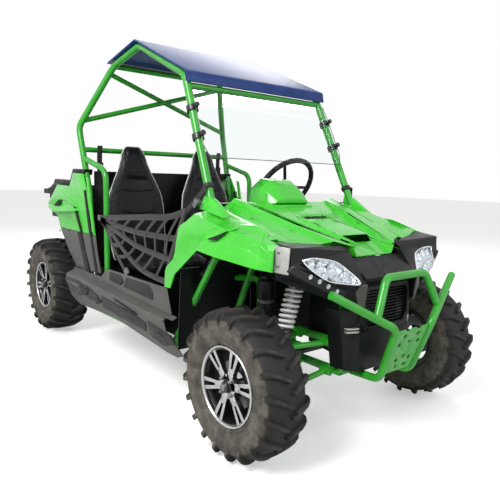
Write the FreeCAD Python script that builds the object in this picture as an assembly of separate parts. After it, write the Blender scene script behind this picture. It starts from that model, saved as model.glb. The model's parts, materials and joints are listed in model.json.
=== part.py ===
import FreeCAD, Part
import math
import os

# A two-seat off-road side by side. Front is +X, the vehicle's left is +Y, the ground is z = 0.
# Everything is in millimetres. Left-hand pieces are drawn first and mirrored to the right.

Vector = FreeCAD.Vector
ORIGIN = Vector(0, 0, 0)
ALONG = Vector(1, 0, 0)
SIDEWAYS = Vector(0, 1, 0)
UP = Vector(0, 0, 1)

# Whole vehicle
OVERALL_LENGTH = 2600.0
OVERALL_WIDTH = 1220.0
WHEELBASE = 1966.0
SEAT_GAP = 0.3
RUNNING_GAP = 0.3
CUT_OVERRUN = 20.0
SHEET = 5.0

# Wheels and tyres
FRONT_TYRE_RADIUS = 267.0
FRONT_TYRE_WIDTH = 190.0
REAR_TYRE_RADIUS = 285.0
REAR_TYRE_WIDTH = 230.0
REAR_TRACK = 900.0
LUG_HEIGHT = 18.0
LUG_WIDTH = 30.0
LUG_ROOT = 8.0
LUGS_PER_SIDE = 18
LUG_SKEW_DEG = 24.0
WHEEL_FACETS = 36
BEAD_RADIUS = 128.0
FLANGE_RADIUS = 143.5
FLANGE_THICKNESS = 6.0
RIM_WALL = 5.0
FRONT_RIM_WIDTH = 152.0
REAR_RIM_WIDTH = 176.0
SPOKE_THICKNESS = 14.0
SPOKE_INSET = 12.0
SPOKE_PAIRS = 5
HUB_RADIUS = 46.0
HUB_DEPTH = 50.0
CAP_RADIUS = 30.0
CAP_HEIGHT = 16.0
STUD_CIRCLE = 36.0
STUD_RADIUS = 6.0

# Front suspension and steering
KINGPIN_Y = 430.0
KINGPIN_LOW = 200.0
KINGPIN_HIGH = 350.0
KINGPIN_RADIUS = 16.0
SPINDLE_RADIUS = 15.0
ARM_TUBE_RADIUS = 11.0
ARM_SPREAD = 80.0
BALL_RADIUS = 19.0
BALL_HEIGHT = 20.0
STEERING_ARM = 80.0
TIE_ROD_RADIUS = 7.0
TIE_EYE_RADIUS = 14.0
RACK_RADIUS = 16.0
RACK_HALF = 152.0
STEERING_WHEEL_X = 320.0
STEERING_WHEEL_Y = 250.0
STEERING_WHEEL_Z = 935.0
STEERING_WHEEL_RADIUS = 162.0
STEERING_GRIP_RADIUS = 13.0
GRIP_SIDES = 8
GRIP_STEPS = 40
COLUMN_TILT_DEG = 34.0
COLUMN_LENGTH = 300.0
COLUMN_RADIUS = 20.0
SHAFT_RADIUS = 11.0

# Shocks
COIL_RADIUS = 28.0
COIL_WIRE = 5.5
COIL_TURNS = 8
COIL_SIDES = 8
SHOCK_BODY_RADIUS = 14.0
SHOCK_ROD_RADIUS = 7.0
SHOCK_EYE_RADIUS = 13.0
FRONT_SHOCK_FOOT_Y = 330.0
REAR_SHOCK_Y = 215.0
REAR_SHOCK_FOOT = Vector(-850, REAR_SHOCK_Y, 345)

# Cage
CAGE_TUBE = 17.0
CAGE_BEND = 75.0
PILLAR_FOOT = Vector(700, 428, 690)
ROOF_FRONT = Vector(366, 389, 1402)
ROOF_APEX = Vector(-96, 356, 1598)
ROOF_REAR = Vector(-405, 345, 1545)
CAGE_KNEE = Vector(-543, 484, 1228)
UPRIGHT_WAIST = Vector(-440, 470, 865)
HIP_BEND = Vector(-238, 470, 995)
HIP_FOOT_X = -225.0
HIP_START_Z = 1060.0
CROSSBAR_Z = 1107.0

# Roof panel, screen and its clamps
ROOF_THICKNESS = 8.0
ROOF_LIP = 42.0
ROOF_EAVE = 24.0
SCREEN_THICKNESS = 4.0
SCREEN_OFFSET = 26.0
SCREEN_LOW = 1042.0
SCREEN_FOLD = 1262.0
SCREEN_HIGH = 1326.0
SCREEN_CORNER = 60.0
CLAMP_HEIGHT = 24.0
CLAMP_WALL = 7.0
CLAMP_LEVELS = (1135.0, 1252.0)
KNOB_RADIUS = 11.0
KNOB_LENGTH = 14.0

# Frame tubes
FRAME_TUBE = 16.0
SIDE_TUBE = 14.5
TIE_TUBE = 13.0
FRAME_BEND = 45.0
RAIL_Z = 262.0
ROCKER_Y = 470.0
NOSE_RAIL_X = 1074.0
NOSE_RAIL_Y = 140.0
FLOOR_RAIL_Y = 300.0
FRAME_BACK = -620.0
ROCKER_FRONT = 425.0
UPPER_RAIL_Z = 640.0
UPPER_RAIL_Y = 262.0
SWING_PIVOT_X = -580.0
SWING_PIVOT_Z = 330.0

# Bonnet, seen from above and the side
BONNET_BACK = 600.0
BONNET_NOSE = 1094.0
BONNET_BREAK = 1071.0
BONNET_CORNER = 982.0
RIDGE_Y = 402.0
RIDGE_BACK_Z = 866.0
RIDGE_NOSE_Z = 740.0
STRIP_BACK_Z = 884.0
STRIP_NOSE_Z = 740.0
STRIP_RISE = 9.0
CENTRE_BACK_Z = 876.0
CENTRE_NOSE_Z = 702.0
SCOOP_MOUTH_X = 996.0
SCOOP_BACK_X = 730.0
SCOOP_HALF = 78.0
SCOOP_RISE = 32.0

# Cowl in front of the dashboard
COWL_BACK = 492.0
COWL_FRONT = 640.0
COWL_LOW = 871.0
COWL_HIGH = 978.0
COWL_HALF = 132.0

# Front fender
FENDER_BACK = 396.0
FENDER_NOSE = 1030.0
FENDER_TIP_Z = 504.0
FENDER_TOP_Z = 880.0
FENDER_OUT_Y = 545.0

# Nose
POD_IN_Y = 150.0
POD_OUT_Y = 432.0
POD_IN_LOW_Z = 520.0
POD_OUT_LOW_Z = 632.0
POD_OUT_TOP_Z = 768.0
NOSE_TIP_X = 1186.0
POD_OUT_X = 1086.0
FASCIA_TOP_Z = 606.0
FASCIA_SHOULDER_Z = 516.0
FASCIA_LOW_Z = 284.0
FASCIA_X = 1150.0
GRILLE_HALF = 128.0
GRILLE_LOW = 438.0
GRILLE_HIGH = 594.0
SLAT_COUNT = 12
LAMP_STAND = 5.0
LAMP_DEPTH = 30.0

# Brush guard
GUARD_TUBE = 14.5
GUARD_BEND = 42.0
GUARD_END = Vector(1208, 364, 607)
GUARD_CORNER = Vector(1289, 108, 470)
GUARD_LOW = Vector(1216, 92, 266)
GUARD_ROOT_Y = 92.0
HOOP_JOINT = Vector(1262, 186, 511)
HOOP_TOP = Vector(1240, 118, 645)
PLATE_THICKNESS = 4.0
PLATE_HOLE = 9.0

# Cab
FLOOR_HALF = 430.0
FLOOR_FRONT = 500.0
TOEBOARD_TOP_X = 610.0
TOEBOARD_TOP_Z = 640.0
BULKHEAD_X = -478.0
BULKHEAD_TOP = 992.0
SEAT_Y = 232.0
SEAT_HALF = 190.0
SEAT_BASE_TOP = 470.0
CUSHION_TOP = 590.0
CUSHION_FRONT = 120.0
CUSHION_BACK = -292.0
BACK_TOP_X = -392.0
BACK_TOP_Z = 1150.0
BACK_THICKNESS = 95.0
DASH_X = 520.0
DASH_HALF = 385.0

# Sides of the body
SILL_BACK = -600.0
SILL_FRONT = 582.0
SILL_TOP_Z = 500.0
SILL_OUT_Y = 555.0
SILL_IN_Y = 494.0
PANEL_Y = 499.0
PANEL_SEAM_Z = 660.0
PANEL_BACK = -990.0
PANEL_TOP_Z = 981.0
COLUMN_LOW_Z = 452.0
NET_STRAP = 24.0
NET_THICKNESS = 3.0

# Cargo tray, power unit and exhaust
TRAY_BACK = -1120.0
TRAY_FRONT = -500.0
TRAY_HALF = 436.0
TRAY_FLOOR = 705.0
TRAY_TOP = 905.0
TAIL_LAMP_Z = 800.0
ENGINE_BACK = -870.0
ENGINE_FRONT = -640.0
ENGINE_HALF = 130.0
ENGINE_LOW = 400.0
ENGINE_HIGH = 640.0
MUFFLER_RADIUS = 55.0
MUFFLER_Y = -235.0
MUFFLER_Z = 560.0
AXLE_RADIUS = 17.0
CARRIER_Y = 205.0
CHAIN_WIDTH = 34.0

REAR_AXLE_X = REAR_TYRE_RADIUS - OVERALL_LENGTH / 2
FRONT_AXLE_X = REAR_AXLE_X + WHEELBASE
FRONT_WHEEL_Y = (OVERALL_WIDTH - FRONT_TYRE_WIDTH) / 2
REAR_WHEEL_Y = REAR_TRACK / 2
ARM_BUSH_RADIUS = ARM_TUBE_RADIUS * 1.4
ARM_ROOT_Y = NOSE_RAIL_Y + FRAME_TUBE + SEAT_GAP + ARM_BUSH_RADIUS
UPPER_ARM_Z = KINGPIN_HIGH + ARM_TUBE_RADIUS * 2
RACK_Z = RAIL_Z + FRAME_TUBE + SEAT_GAP + RACK_RADIUS
STEERING_ARM_Z = RACK_Z + TIE_ROD_RADIUS + RUNNING_GAP
SHOCK_SEAT = SIDE_TUBE + SEAT_GAP + SHOCK_EYE_RADIUS
FRONT_SHOCK_TOP = Vector(FRONT_AXLE_X, UPPER_RAIL_Y, UPPER_RAIL_Z - SHOCK_SEAT)
FRONT_SHOCK_FOOT = Vector(FRONT_AXLE_X, FRONT_SHOCK_FOOT_Y, UPPER_ARM_Z + ARM_TUBE_RADIUS + SHOCK_EYE_RADIUS)
TRAY_RAIL_Z = TRAY_FLOOR - SIDE_TUBE - SEAT_GAP
REAR_POST_X = FRAME_BACK - FRAME_TUBE * 2
REAR_SHOCK_TOP = Vector(REAR_POST_X, REAR_SHOCK_Y, TRAY_RAIL_Z - SHOCK_SEAT)
ROCKER_Z = RAIL_Z
GUARD_ROOT = Vector(NOSE_RAIL_X + TIE_TUBE + SEAT_GAP, GUARD_ROOT_Y, RAIL_Z)
FLOOR_Z = RAIL_Z + FRAME_TUBE + SEAT_GAP + SHEET
FLOOR_BACK = BULKHEAD_X + SHEET + SEAT_GAP
CHAIN_Y = ENGINE_HALF + CHAIN_WIDTH / 2 + SEAT_GAP
PIVOT_PLATE_Y = FLOOR_RAIL_Y - FRAME_TUBE * 1.1
UPRIGHT_FOOT = Vector(UPRIGHT_WAIST.x, ROCKER_Y, ROCKER_Z + FRAME_TUBE + SEAT_GAP)
HIP_FOOT = Vector(HIP_FOOT_X, ROCKER_Y, ROCKER_Z + FRAME_TUBE + SEAT_GAP)


def rod(start, end, radius):
    axis = end.sub(start)
    return Part.makeCylinder(radius, axis.Length, start, axis)


def between(start, end, share):
    return start.add(end.sub(start).multiply(share))


def shifted(place, dx, dy, dz):
    return place.add(Vector(dx, dy, dz))


def mirrored(shape):
    return shape.mirror(ORIGIN, SIDEWAYS)


def pairs(*shapes):
    """Left-hand solids and their right-hand twins, as one node."""
    return Part.makeCompound([twin for shape in shapes for twin in (shape, mirrored(shape))])


def joined(shapes):
    if len(shapes) == 1:
        return shapes[0]
    return shapes[0].multiFuse(shapes[1:]).removeSplitter()


def box(low, high):
    size = high.sub(low)
    return Part.makeBox(size.x, size.y, size.z, low)


def slab(points, offset):
    return Part.Face(Part.makePolygon(points + points[:1])).extrude(offset)


def bent_tube(points, radius, bend):
    """A round tube along straight runs, with an arc that touches both runs at each inner point."""
    edges = []
    last = points[0]
    for before, corner, after in zip(points, points[1:], points[2:]):
        inward = before.sub(corner).normalize()
        outward = after.sub(corner).normalize()
        turn = math.pi - inward.getAngle(outward)
        reach = bend * math.tan(turn / 2)
        first = corner.add(Vector(inward).multiply(reach))
        third = corner.add(Vector(outward).multiply(reach))
        to_centre = inward.add(outward).normalize()
        apex = bend / math.cos(turn / 2) - bend
        middle = corner.add(to_centre.multiply(apex))
        edges.append(Part.LineSegment(last, first).toShape())
        edges.append(Part.Arc(first, middle, third).toShape())
        last = third
    edges.append(Part.LineSegment(last, points[-1]).toShape())
    heading = points[1].sub(points[0])
    section = Part.Wire(Part.Circle(points[0], heading, radius).toShape())
    return Part.Wire(edges).makePipeShell([section], True, False)


def offset_path(path, distance):
    """The same open path moved sideways by a distance, with mitred corners."""
    normals = []
    for a, b in zip(path, path[1:]):
        run = math.hypot(b[0] - a[0], b[1] - a[1])
        normals.append(((a[1] - b[1]) / run, (b[0] - a[0]) / run))
    moved = []
    for index, place in enumerate(path):
        first = normals[max(index - 1, 0)]
        second = normals[min(index, len(normals) - 1)]
        total = (first[0] + second[0], first[1] + second[1])
        scale = 2 * distance / (total[0] ** 2 + total[1] ** 2)
        moved.append((place[0] + total[0] * scale, place[1] + total[1] * scale))
    return moved


def band(path, distance):
    """The closed outline of a sheet whose one face follows the path."""
    return path + offset_path(path, distance)[::-1]


def loft(sections):
    wires = [Part.makePolygon(points + points[:1]) for points in sections]
    return Part.makeLoft(wires, True, True)


def side_outline(outline, y, depth):
    """An outline of (x, z) points, swept sideways from y by depth."""
    return slab([Vector(x, y, z) for x, z in outline], Vector(0, depth, 0))


def ring_of_facets(profile, centre_y, facets, phase):
    """A closed ring about the Y axis: the (radius, y) profile repeated at equal turns."""
    def corner(place, step):
        angle = phase + 2 * math.pi * step / facets
        return Vector(place[0] * math.sin(angle), centre_y + place[1], place[0] * math.cos(angle))

    faces = []
    for step in range(facets):
        for here, after in zip(profile, profile[1:] + profile[:1]):
            quad = [corner(here, step), corner(after, step), corner(after, step + 1), corner(here, step + 1)]
            faces.append(Part.Face(Part.makePolygon(quad + quad[:1])))
    return Part.Solid(Part.Shell(faces))


def lug_corner(half, middle_share):
    """How far the inner corner of a skewed bar lies from the bar's own middle plane."""
    skew = math.radians(LUG_SKEW_DEG)
    return LUG_WIDTH / 2 * math.cos(skew) + half * (0.5 - middle_share) * math.sin(skew)


def tyre_lug(radius, half, side):
    """One bar of the tread, from near the middle round onto the shoulder."""
    crown = radius - LUG_HEIGHT
    reach_share = 0.97
    middle_share = 0.06
    shoulder_share = 0.74
    drop = LUG_HEIGHT * 0.5
    corner = lug_corner(half, middle_share)
    top = math.sqrt(radius ** 2 - corner ** 2)
    profile = [
        Vector(-LUG_WIDTH / 2, half * middle_share, crown - LUG_ROOT),
        Vector(-LUG_WIDTH / 2, half * middle_share, top),
        Vector(-LUG_WIDTH / 2, half * shoulder_share, top),
        Vector(-LUG_WIDTH / 2, half * reach_share, top - drop),
        Vector(-LUG_WIDTH / 2, half * reach_share, crown - LUG_HEIGHT * 2),
        Vector(-LUG_WIDTH / 2, half * shoulder_share, crown - LUG_HEIGHT * 2),
    ]
    lug = slab(profile, Vector(LUG_WIDTH, 0, 0))
    lug.rotate(Vector(0, half / 2, 0), UP, LUG_SKEW_DEG)
    return lug if side > 0 else mirrored(lug)


def tyre(radius, width, rim_width):
    """A knobbly tyre about the Y axis, with bars that alternate from side to side."""
    half = width / 2
    crown = radius - LUG_HEIGHT
    bead_half = rim_width / 2 - FLANGE_THICKNESS - SEAT_GAP
    carcass = [
        (BEAD_RADIUS, -bead_half),
        (FLANGE_RADIUS + SEAT_GAP * 2, -bead_half),
        ((BEAD_RADIUS + crown) / 2, -half),
        (crown - LUG_HEIGHT, -half * 0.86),
        (crown, -half * 0.45),
        (crown, half * 0.45),
        (crown - LUG_HEIGHT, half * 0.86),
        ((BEAD_RADIUS + crown) / 2, half),
        (FLANGE_RADIUS + SEAT_GAP * 2, bead_half),
        (BEAD_RADIUS, bead_half),
    ]
    body = ring_of_facets(carcass, 0, WHEEL_FACETS, 0)
    lugs = []
    pitch = 360 / LUGS_PER_SIDE
    lean = math.degrees(math.asin(lug_corner(half, 0.06) / radius))
    for side in (1, -1):
        for index in range(LUGS_PER_SIDE):
            lug = tyre_lug(radius, half, side)
            lug.rotate(ORIGIN, SIDEWAYS, 180 - lean + pitch * (index + (1 - side) / 4))
            lugs.append(lug)
    return body.multiFuse(lugs)


def spoke_pair(outer, face_y):
    """One twin spoke with its slot, from the hub out to the barrel, pointing up."""
    foot = HUB_RADIUS * 0.9
    foot_half = HUB_RADIUS * 0.42
    tip_half = outer * 0.2
    outline = [(-foot_half, foot), (-tip_half, outer), (tip_half, outer), (foot_half, foot)]
    slot_low = HUB_RADIUS * 1.35
    slot_high = outer * 0.97
    slot_foot = HUB_RADIUS * 0.1
    slot_tip = outer * 0.07
    slot = [(-slot_foot, slot_low), (-slot_tip, slot_high), (slot_tip, slot_high), (slot_foot, slot_low)]
    pair = side_outline(outline, face_y - SPOKE_THICKNESS, SPOKE_THICKNESS)
    through = SPOKE_THICKNESS + CUT_OVERRUN
    return pair.cut(side_outline(slot, face_y - through, through + CUT_OVERRUN))


def rim(width):
    """A wheel about the Y axis, with its face towards +Y."""
    half = width / 2
    outer_well = BEAD_RADIUS - SEAT_GAP
    inner_well = outer_well - RIM_WALL
    barrel = [
        (FLANGE_RADIUS, -half),
        (FLANGE_RADIUS, -half + FLANGE_THICKNESS),
        (outer_well, -half + FLANGE_THICKNESS),
        (outer_well, half - FLANGE_THICKNESS),
        (FLANGE_RADIUS, half - FLANGE_THICKNESS),
        (FLANGE_RADIUS, half),
        (inner_well + RIM_WALL, half),
        (inner_well, half - FLANGE_THICKNESS),
        (inner_well, -half),
    ]
    pieces = [ring_of_facets(barrel, 0, WHEEL_FACETS, 0)]
    face_y = half - SPOKE_INSET
    reach = inner_well + RIM_WALL * 0.3
    for index in range(SPOKE_PAIRS):
        pair = spoke_pair(reach, face_y)
        pair.rotate(ORIGIN, SIDEWAYS, 360 / SPOKE_PAIRS * index)
        pieces.append(pair)
    hub_start = face_y - HUB_DEPTH
    pieces.append(Part.makeCylinder(HUB_RADIUS, HUB_DEPTH, Vector(0, hub_start, 0), SIDEWAYS))
    pieces.append(Part.makeCylinder(CAP_RADIUS, CAP_HEIGHT, Vector(0, face_y, 0), SIDEWAYS))
    whole = joined(pieces)
    bore = SPINDLE_RADIUS + RUNNING_GAP
    bore_depth = HUB_DEPTH * 0.7
    return whole.cut(Part.makeCylinder(bore, bore_depth, Vector(0, hub_start, 0), SIDEWAYS))


def front_place(shape):
    shape.translate(Vector(FRONT_AXLE_X, FRONT_WHEEL_Y, FRONT_TYRE_RADIUS))
    return shape


def rear_place(shape):
    shape.translate(Vector(REAR_AXLE_X, REAR_WHEEL_Y, REAR_TYRE_RADIUS))
    return shape


def spindle_end():
    face_y = FRONT_WHEEL_Y + FRONT_RIM_WIDTH / 2 - SPOKE_INSET
    return face_y - HUB_DEPTH + HUB_DEPTH * 0.7 - RUNNING_GAP


def knuckle():
    """Upright, spindle and steering arm of the left front wheel."""
    foot = Vector(FRONT_AXLE_X, KINGPIN_Y, KINGPIN_LOW)
    head = Vector(FRONT_AXLE_X, KINGPIN_Y, KINGPIN_HIGH)
    post = rod(foot, head, KINGPIN_RADIUS)
    start = Vector(FRONT_AXLE_X, KINGPIN_Y, FRONT_TYRE_RADIUS)
    spindle = rod(start, Vector(FRONT_AXLE_X, spindle_end(), FRONT_TYRE_RADIUS), SPINDLE_RADIUS)
    arm_half = TIE_EYE_RADIUS * 0.75
    low = Vector(FRONT_AXLE_X - STEERING_ARM, KINGPIN_Y - arm_half, STEERING_ARM_Z)
    high = Vector(FRONT_AXLE_X, KINGPIN_Y + arm_half, STEERING_ARM_Z + TIE_EYE_RADIUS)
    eye_foot = Vector(FRONT_AXLE_X - STEERING_ARM, KINGPIN_Y, STEERING_ARM_Z)
    eye = Part.makeCylinder(TIE_EYE_RADIUS, TIE_EYE_RADIUS, eye_foot)
    return joined([post, spindle, box(low, high), eye])


def steering_rack():
    """Sliding bar and both tie rods, whose end eyes lie under the steering arms."""
    x = FRONT_AXLE_X - STEERING_ARM
    z = RACK_Z
    bar = rod(Vector(x, -KINGPIN_Y, z), Vector(x, KINGPIN_Y, z), TIE_ROD_RADIUS)
    pieces = [bar]
    for side in (1, -1):
        foot = Vector(x, side * KINGPIN_Y, z - TIE_ROD_RADIUS)
        pieces.append(Part.makeCylinder(TIE_EYE_RADIUS, TIE_ROD_RADIUS * 2, foot))
    return joined(pieces)


def rack_housing():
    x = FRONT_AXLE_X - STEERING_ARM
    start = Vector(x, -RACK_HALF, RACK_Z)
    end = Vector(x, RACK_HALF, RACK_Z)
    tube = rod(start, end, RACK_RADIUS)
    return tube.cut(rod(start, end, TIE_ROD_RADIUS + RUNNING_GAP))


def a_arm(root_z, ball_z, tube_z):
    """Two tubes from the frame's bushes to the pad at the end of the kingpin."""
    end = Vector(FRONT_AXLE_X, KINGPIN_Y - BALL_RADIUS / 2, tube_z)
    pieces = [Part.makeCylinder(BALL_RADIUS, BALL_HEIGHT, Vector(FRONT_AXLE_X, KINGPIN_Y, ball_z))]
    roots = [Vector(FRONT_AXLE_X + way * ARM_SPREAD, ARM_ROOT_Y, root_z) for way in (-1, 1)]
    for root in roots:
        pieces.append(rod(root, end, ARM_TUBE_RADIUS))
        bush = shifted(root, -ARM_TUBE_RADIUS * 2, 0, 0)
        pieces.append(Part.makeCylinder(ARM_BUSH_RADIUS, ARM_TUBE_RADIUS * 4, bush, ALONG))
    tie_shares = (0.4, (FRONT_SHOCK_FOOT_Y - ARM_ROOT_Y) / (end.y - ARM_ROOT_Y))
    for share in tie_shares:
        pieces.append(rod(between(roots[0], end, share), between(roots[1], end, share), ARM_TUBE_RADIUS))
    return joined(pieces)


def front_arms():
    """Upper and lower arm of the left front wheel."""
    high = KINGPIN_HIGH + SEAT_GAP
    low = KINGPIN_LOW - SEAT_GAP - BALL_HEIGHT
    step = ARM_TUBE_RADIUS * 0.6
    upper = a_arm(UPPER_ARM_Z, high, high + BALL_HEIGHT - step)
    lower = a_arm(RAIL_Z, low, low + step)
    return [upper, lower]


def coil(start, end):
    """A spring of flat-sided wire round the line from start to end."""
    axis = end.sub(start)
    side = axis.cross(SIDEWAYS).normalize()
    across = axis.cross(side).normalize()
    steps = COIL_TURNS * COIL_SIDES
    rise = Vector(axis).normalize()

    def corner(step, outward, upward):
        angle = 2 * math.pi * step / COIL_SIDES
        spoke = Vector(side).multiply(math.cos(angle)).add(Vector(across).multiply(math.sin(angle)))
        radius = COIL_RADIUS - COIL_WIRE + outward * COIL_WIRE
        place = start.add(Vector(axis).multiply(step / steps))
        return place.add(spoke.multiply(radius)).add(Vector(rise).multiply(upward * COIL_WIRE))

    ways = [(-1, 0), (0, 1), (1, 0), (0, -1)]
    faces = []
    for step in range(steps):
        for here, after in zip(ways, ways[1:] + ways[:1]):
            a = corner(step, *here)
            b = corner(step, *after)
            c = corner(step + 1, *after)
            d = corner(step + 1, *here)
            faces.append(Part.Face(Part.makePolygon([a, b, c, a])))
            faces.append(Part.Face(Part.makePolygon([a, c, d, a])))
    for step, order in ((0, ways[::-1]), (steps, ways)):
        cap = [corner(step, *way) for way in order]
        faces.append(Part.Face(Part.makePolygon(cap + cap[:1])))
    shape = Part.Solid(Part.Shell(faces))
    if shape.Volume < 0:
        shape.reverse()
    return shape


def shock_places(top, foot):
    axis = foot.sub(top)
    return [between(top, foot, share) for share in (0.0, 0.1, 0.55, 0.86, 1.0)], axis


def shock(top, foot):
    """Damper body, rod, spring cups and both eyes."""
    places, axis = shock_places(top, foot)
    head, cup_top, body_end, cup_foot, tail = places
    cup_radius = COIL_RADIUS + SEAT_GAP
    cup = COIL_WIRE * 1.2
    direction = Vector(axis).normalize()
    pieces = [
        rod(head, body_end, SHOCK_BODY_RADIUS),
        rod(body_end, tail, SHOCK_ROD_RADIUS),
        Part.makeCylinder(cup_radius, cup, cup_top, direction),
        Part.makeCylinder(cup_radius, cup, cup_foot, direction),
    ]
    for eye in (head, tail):
        start = shifted(eye, -SHOCK_EYE_RADIUS, 0, 0)
        pieces.append(Part.makeCylinder(SHOCK_EYE_RADIUS, SHOCK_EYE_RADIUS * 2, start, ALONG))
    return joined(pieces)


def shock_coil(top, foot):
    places, axis = shock_places(top, foot)
    direction = Vector(axis).normalize()
    clear = COIL_WIRE + SEAT_GAP
    start = places[1].add(Vector(direction).multiply(COIL_WIRE * 1.2 + clear))
    end = places[3].sub(Vector(direction).multiply(clear))
    return coil(start, end)


def cage_side(tube):
    """The left hoop: windscreen pillar, roof rail, rear knee and upright, with the hip bar."""
    hoop = [PILLAR_FOOT, ROOF_FRONT, ROOF_APEX, ROOF_REAR, CAGE_KNEE, UPRIGHT_WAIST, UPRIGHT_FOOT]
    share = (HIP_START_Z - UPRIGHT_WAIST.z) / (CAGE_KNEE.z - UPRIGHT_WAIST.z)
    start = between(UPRIGHT_WAIST, CAGE_KNEE, share)
    hip = [start, HIP_BEND, HIP_FOOT]
    return joined([bent_tube(hoop, tube, CAGE_BEND), bent_tube(hip, tube * 0.85, CAGE_BEND)])


def cage_crossings():
    """Tubes that tie the two hoops, ending at the hoops' walls."""
    share = (CROSSBAR_Z - UPRIGHT_WAIST.z) / (CAGE_KNEE.z - UPRIGHT_WAIST.z)
    bar = between(UPRIGHT_WAIST, CAGE_KNEE, share)
    brace_top = between(ROOF_REAR, CAGE_KNEE, 0.12)
    brace_foot = between(ROOF_REAR, CAGE_KNEE, 0.9)
    tubes = []
    for place in (between(PILLAR_FOOT, ROOF_FRONT, 0.93), ROOF_APEX, ROOF_REAR, bar):
        tubes.append(rod(place, Vector(place.x, -place.y, place.z), CAGE_TUBE * 0.85))
    tubes.append(rod(brace_top, Vector(brace_foot.x, -brace_foot.y, brace_foot.z), CAGE_TUBE * 0.8))
    tubes.append(rod(Vector(brace_top.x, -brace_top.y, brace_top.z), brace_foot, CAGE_TUBE * 0.8))
    fat = cage_side(CAGE_TUBE + SEAT_GAP)
    return tubes, fat


def cage_cross():
    tubes, fat = cage_crossings()
    straight = [tube.cut(fat).cut(mirrored(fat)) for tube in tubes[:4]]
    brace = joined(tubes[4:]).cut(fat).cut(mirrored(fat))
    kept = straight + [max(brace.Solids, key=lambda solid: solid.Volume)]
    return Part.makeCompound([max(piece.Solids, key=lambda solid: solid.Volume) for piece in kept])


def roof_panel():
    """One sheet over the rails, with a lip at the front, wider at the front than the back."""
    lift = CAGE_TUBE + SEAT_GAP
    rails = [(ROOF_FRONT.x, ROOF_FRONT.z), (ROOF_APEX.x, ROOF_APEX.z), (ROOF_REAR.x, ROOF_REAR.z)]
    over = offset_path(rails, -lift)
    slope = (over[1][1] - over[0][1]) / (over[1][0] - over[0][0])
    nose = ROOF_EAVE
    front = (over[0][0] + nose, over[0][1] + slope * nose)
    fall = (over[2][1] - over[1][1]) / (over[2][0] - over[1][0])
    tail = (over[2][0] - nose, over[2][1] - fall * nose)
    lip = (front[0] + ROOF_THICKNESS, front[1] - ROOF_LIP)
    outline = band([lip, front, over[1], tail], -ROOF_THICKNESS)
    front_half = ROOF_FRONT.y + ROOF_EAVE
    rear_half = ROOF_REAR.y + ROOF_EAVE
    sheet = side_outline(outline, -front_half, front_half * 2)
    reach = front[0] + CUT_OVERRUN
    back = tail[0] - CUT_OVERRUN
    low = ROOF_FRONT.z - ROOF_LIP * 2
    plan = [
        Vector(reach, front_half, low),
        Vector(back, rear_half, low),
        Vector(back, -rear_half, low),
        Vector(reach, -front_half, low),
    ]
    return sheet.common(slab(plan, Vector(0, 0, ROOF_APEX.z)))


def pillar_point(z):
    share = (z - PILLAR_FOOT.z) / (ROOF_FRONT.z - PILLAR_FOOT.z)
    return between(PILLAR_FOOT, ROOF_FRONT, share)


def pillar_normal():
    run = ROOF_FRONT.sub(PILLAR_FOOT)
    return Vector(run.z, 0, -run.x).normalize()


def screen_point(z, offset):
    base = pillar_point(z)
    return base.add(pillar_normal().multiply(offset))


def windshield():
    """Clear sheet ahead of the pillars, folded back near its top edge."""
    low = screen_point(SCREEN_LOW, SCREEN_OFFSET)
    fold = screen_point(SCREEN_FOLD, SCREEN_OFFSET)
    high = screen_point(SCREEN_HIGH, SCREEN_OFFSET - SCREEN_THICKNESS)
    path = [(low.x, low.z), (fold.x, fold.z), (high.x, high.z)]
    half = low.y
    sheet = side_outline(band(path, -SCREEN_THICKNESS), -half, half * 2)
    top_half = high.y
    corner = SCREEN_CORNER
    plan = [
        Vector(low.x - corner * 4, half - corner, SCREEN_LOW - CUT_OVERRUN),
        Vector(low.x - corner * 4, half - corner * 0.3, SCREEN_LOW + corner * 0.3),
        Vector(low.x - corner * 4, half, SCREEN_LOW + corner),
        Vector(low.x - corner * 4, top_half, SCREEN_HIGH + CUT_OVERRUN),
    ]
    outline = plan + [Vector(place.x, -place.y, place.z) for place in reversed(plan)]
    return sheet.common(slab(outline, Vector(corner * 8, 0, 0)))


def screen_clamp(z):
    """A ring round the pillar with a tab that reaches the sheet, and the knob on its front."""
    centre = pillar_point(z)
    run = ROOF_FRONT.sub(PILLAR_FOOT).normalize()
    start = centre.sub(Vector(run).multiply(CLAMP_HEIGHT / 2))
    inner = CAGE_TUBE + SEAT_GAP
    outer = inner + CLAMP_WALL
    ring = Part.makeCylinder(outer, CLAMP_HEIGHT, start, run)
    normal = pillar_normal()
    back = SCREEN_OFFSET - SEAT_GAP
    tab = rod(centre, centre.add(Vector(normal).multiply(back)), CLAMP_HEIGHT * 0.4)
    hole = Part.makeCylinder(inner, CLAMP_HEIGHT * 2, start.sub(Vector(run).multiply(CLAMP_HEIGHT / 2)), run)
    clamp = joined([ring, tab]).cut(hole)
    front = SCREEN_OFFSET + SCREEN_THICKNESS + SEAT_GAP
    knob = Part.makeCylinder(KNOB_RADIUS, KNOB_LENGTH, centre.add(Vector(normal).multiply(front)), normal)
    return [max(clamp.Solids, key=lambda solid: solid.Volume), knob]


def windshield_clamps():
    solids = []
    for level in CLAMP_LEVELS:
        solids.extend(screen_clamp(level))
    return Part.makeCompound(solids + [mirrored(solid) for solid in solids])


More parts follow.
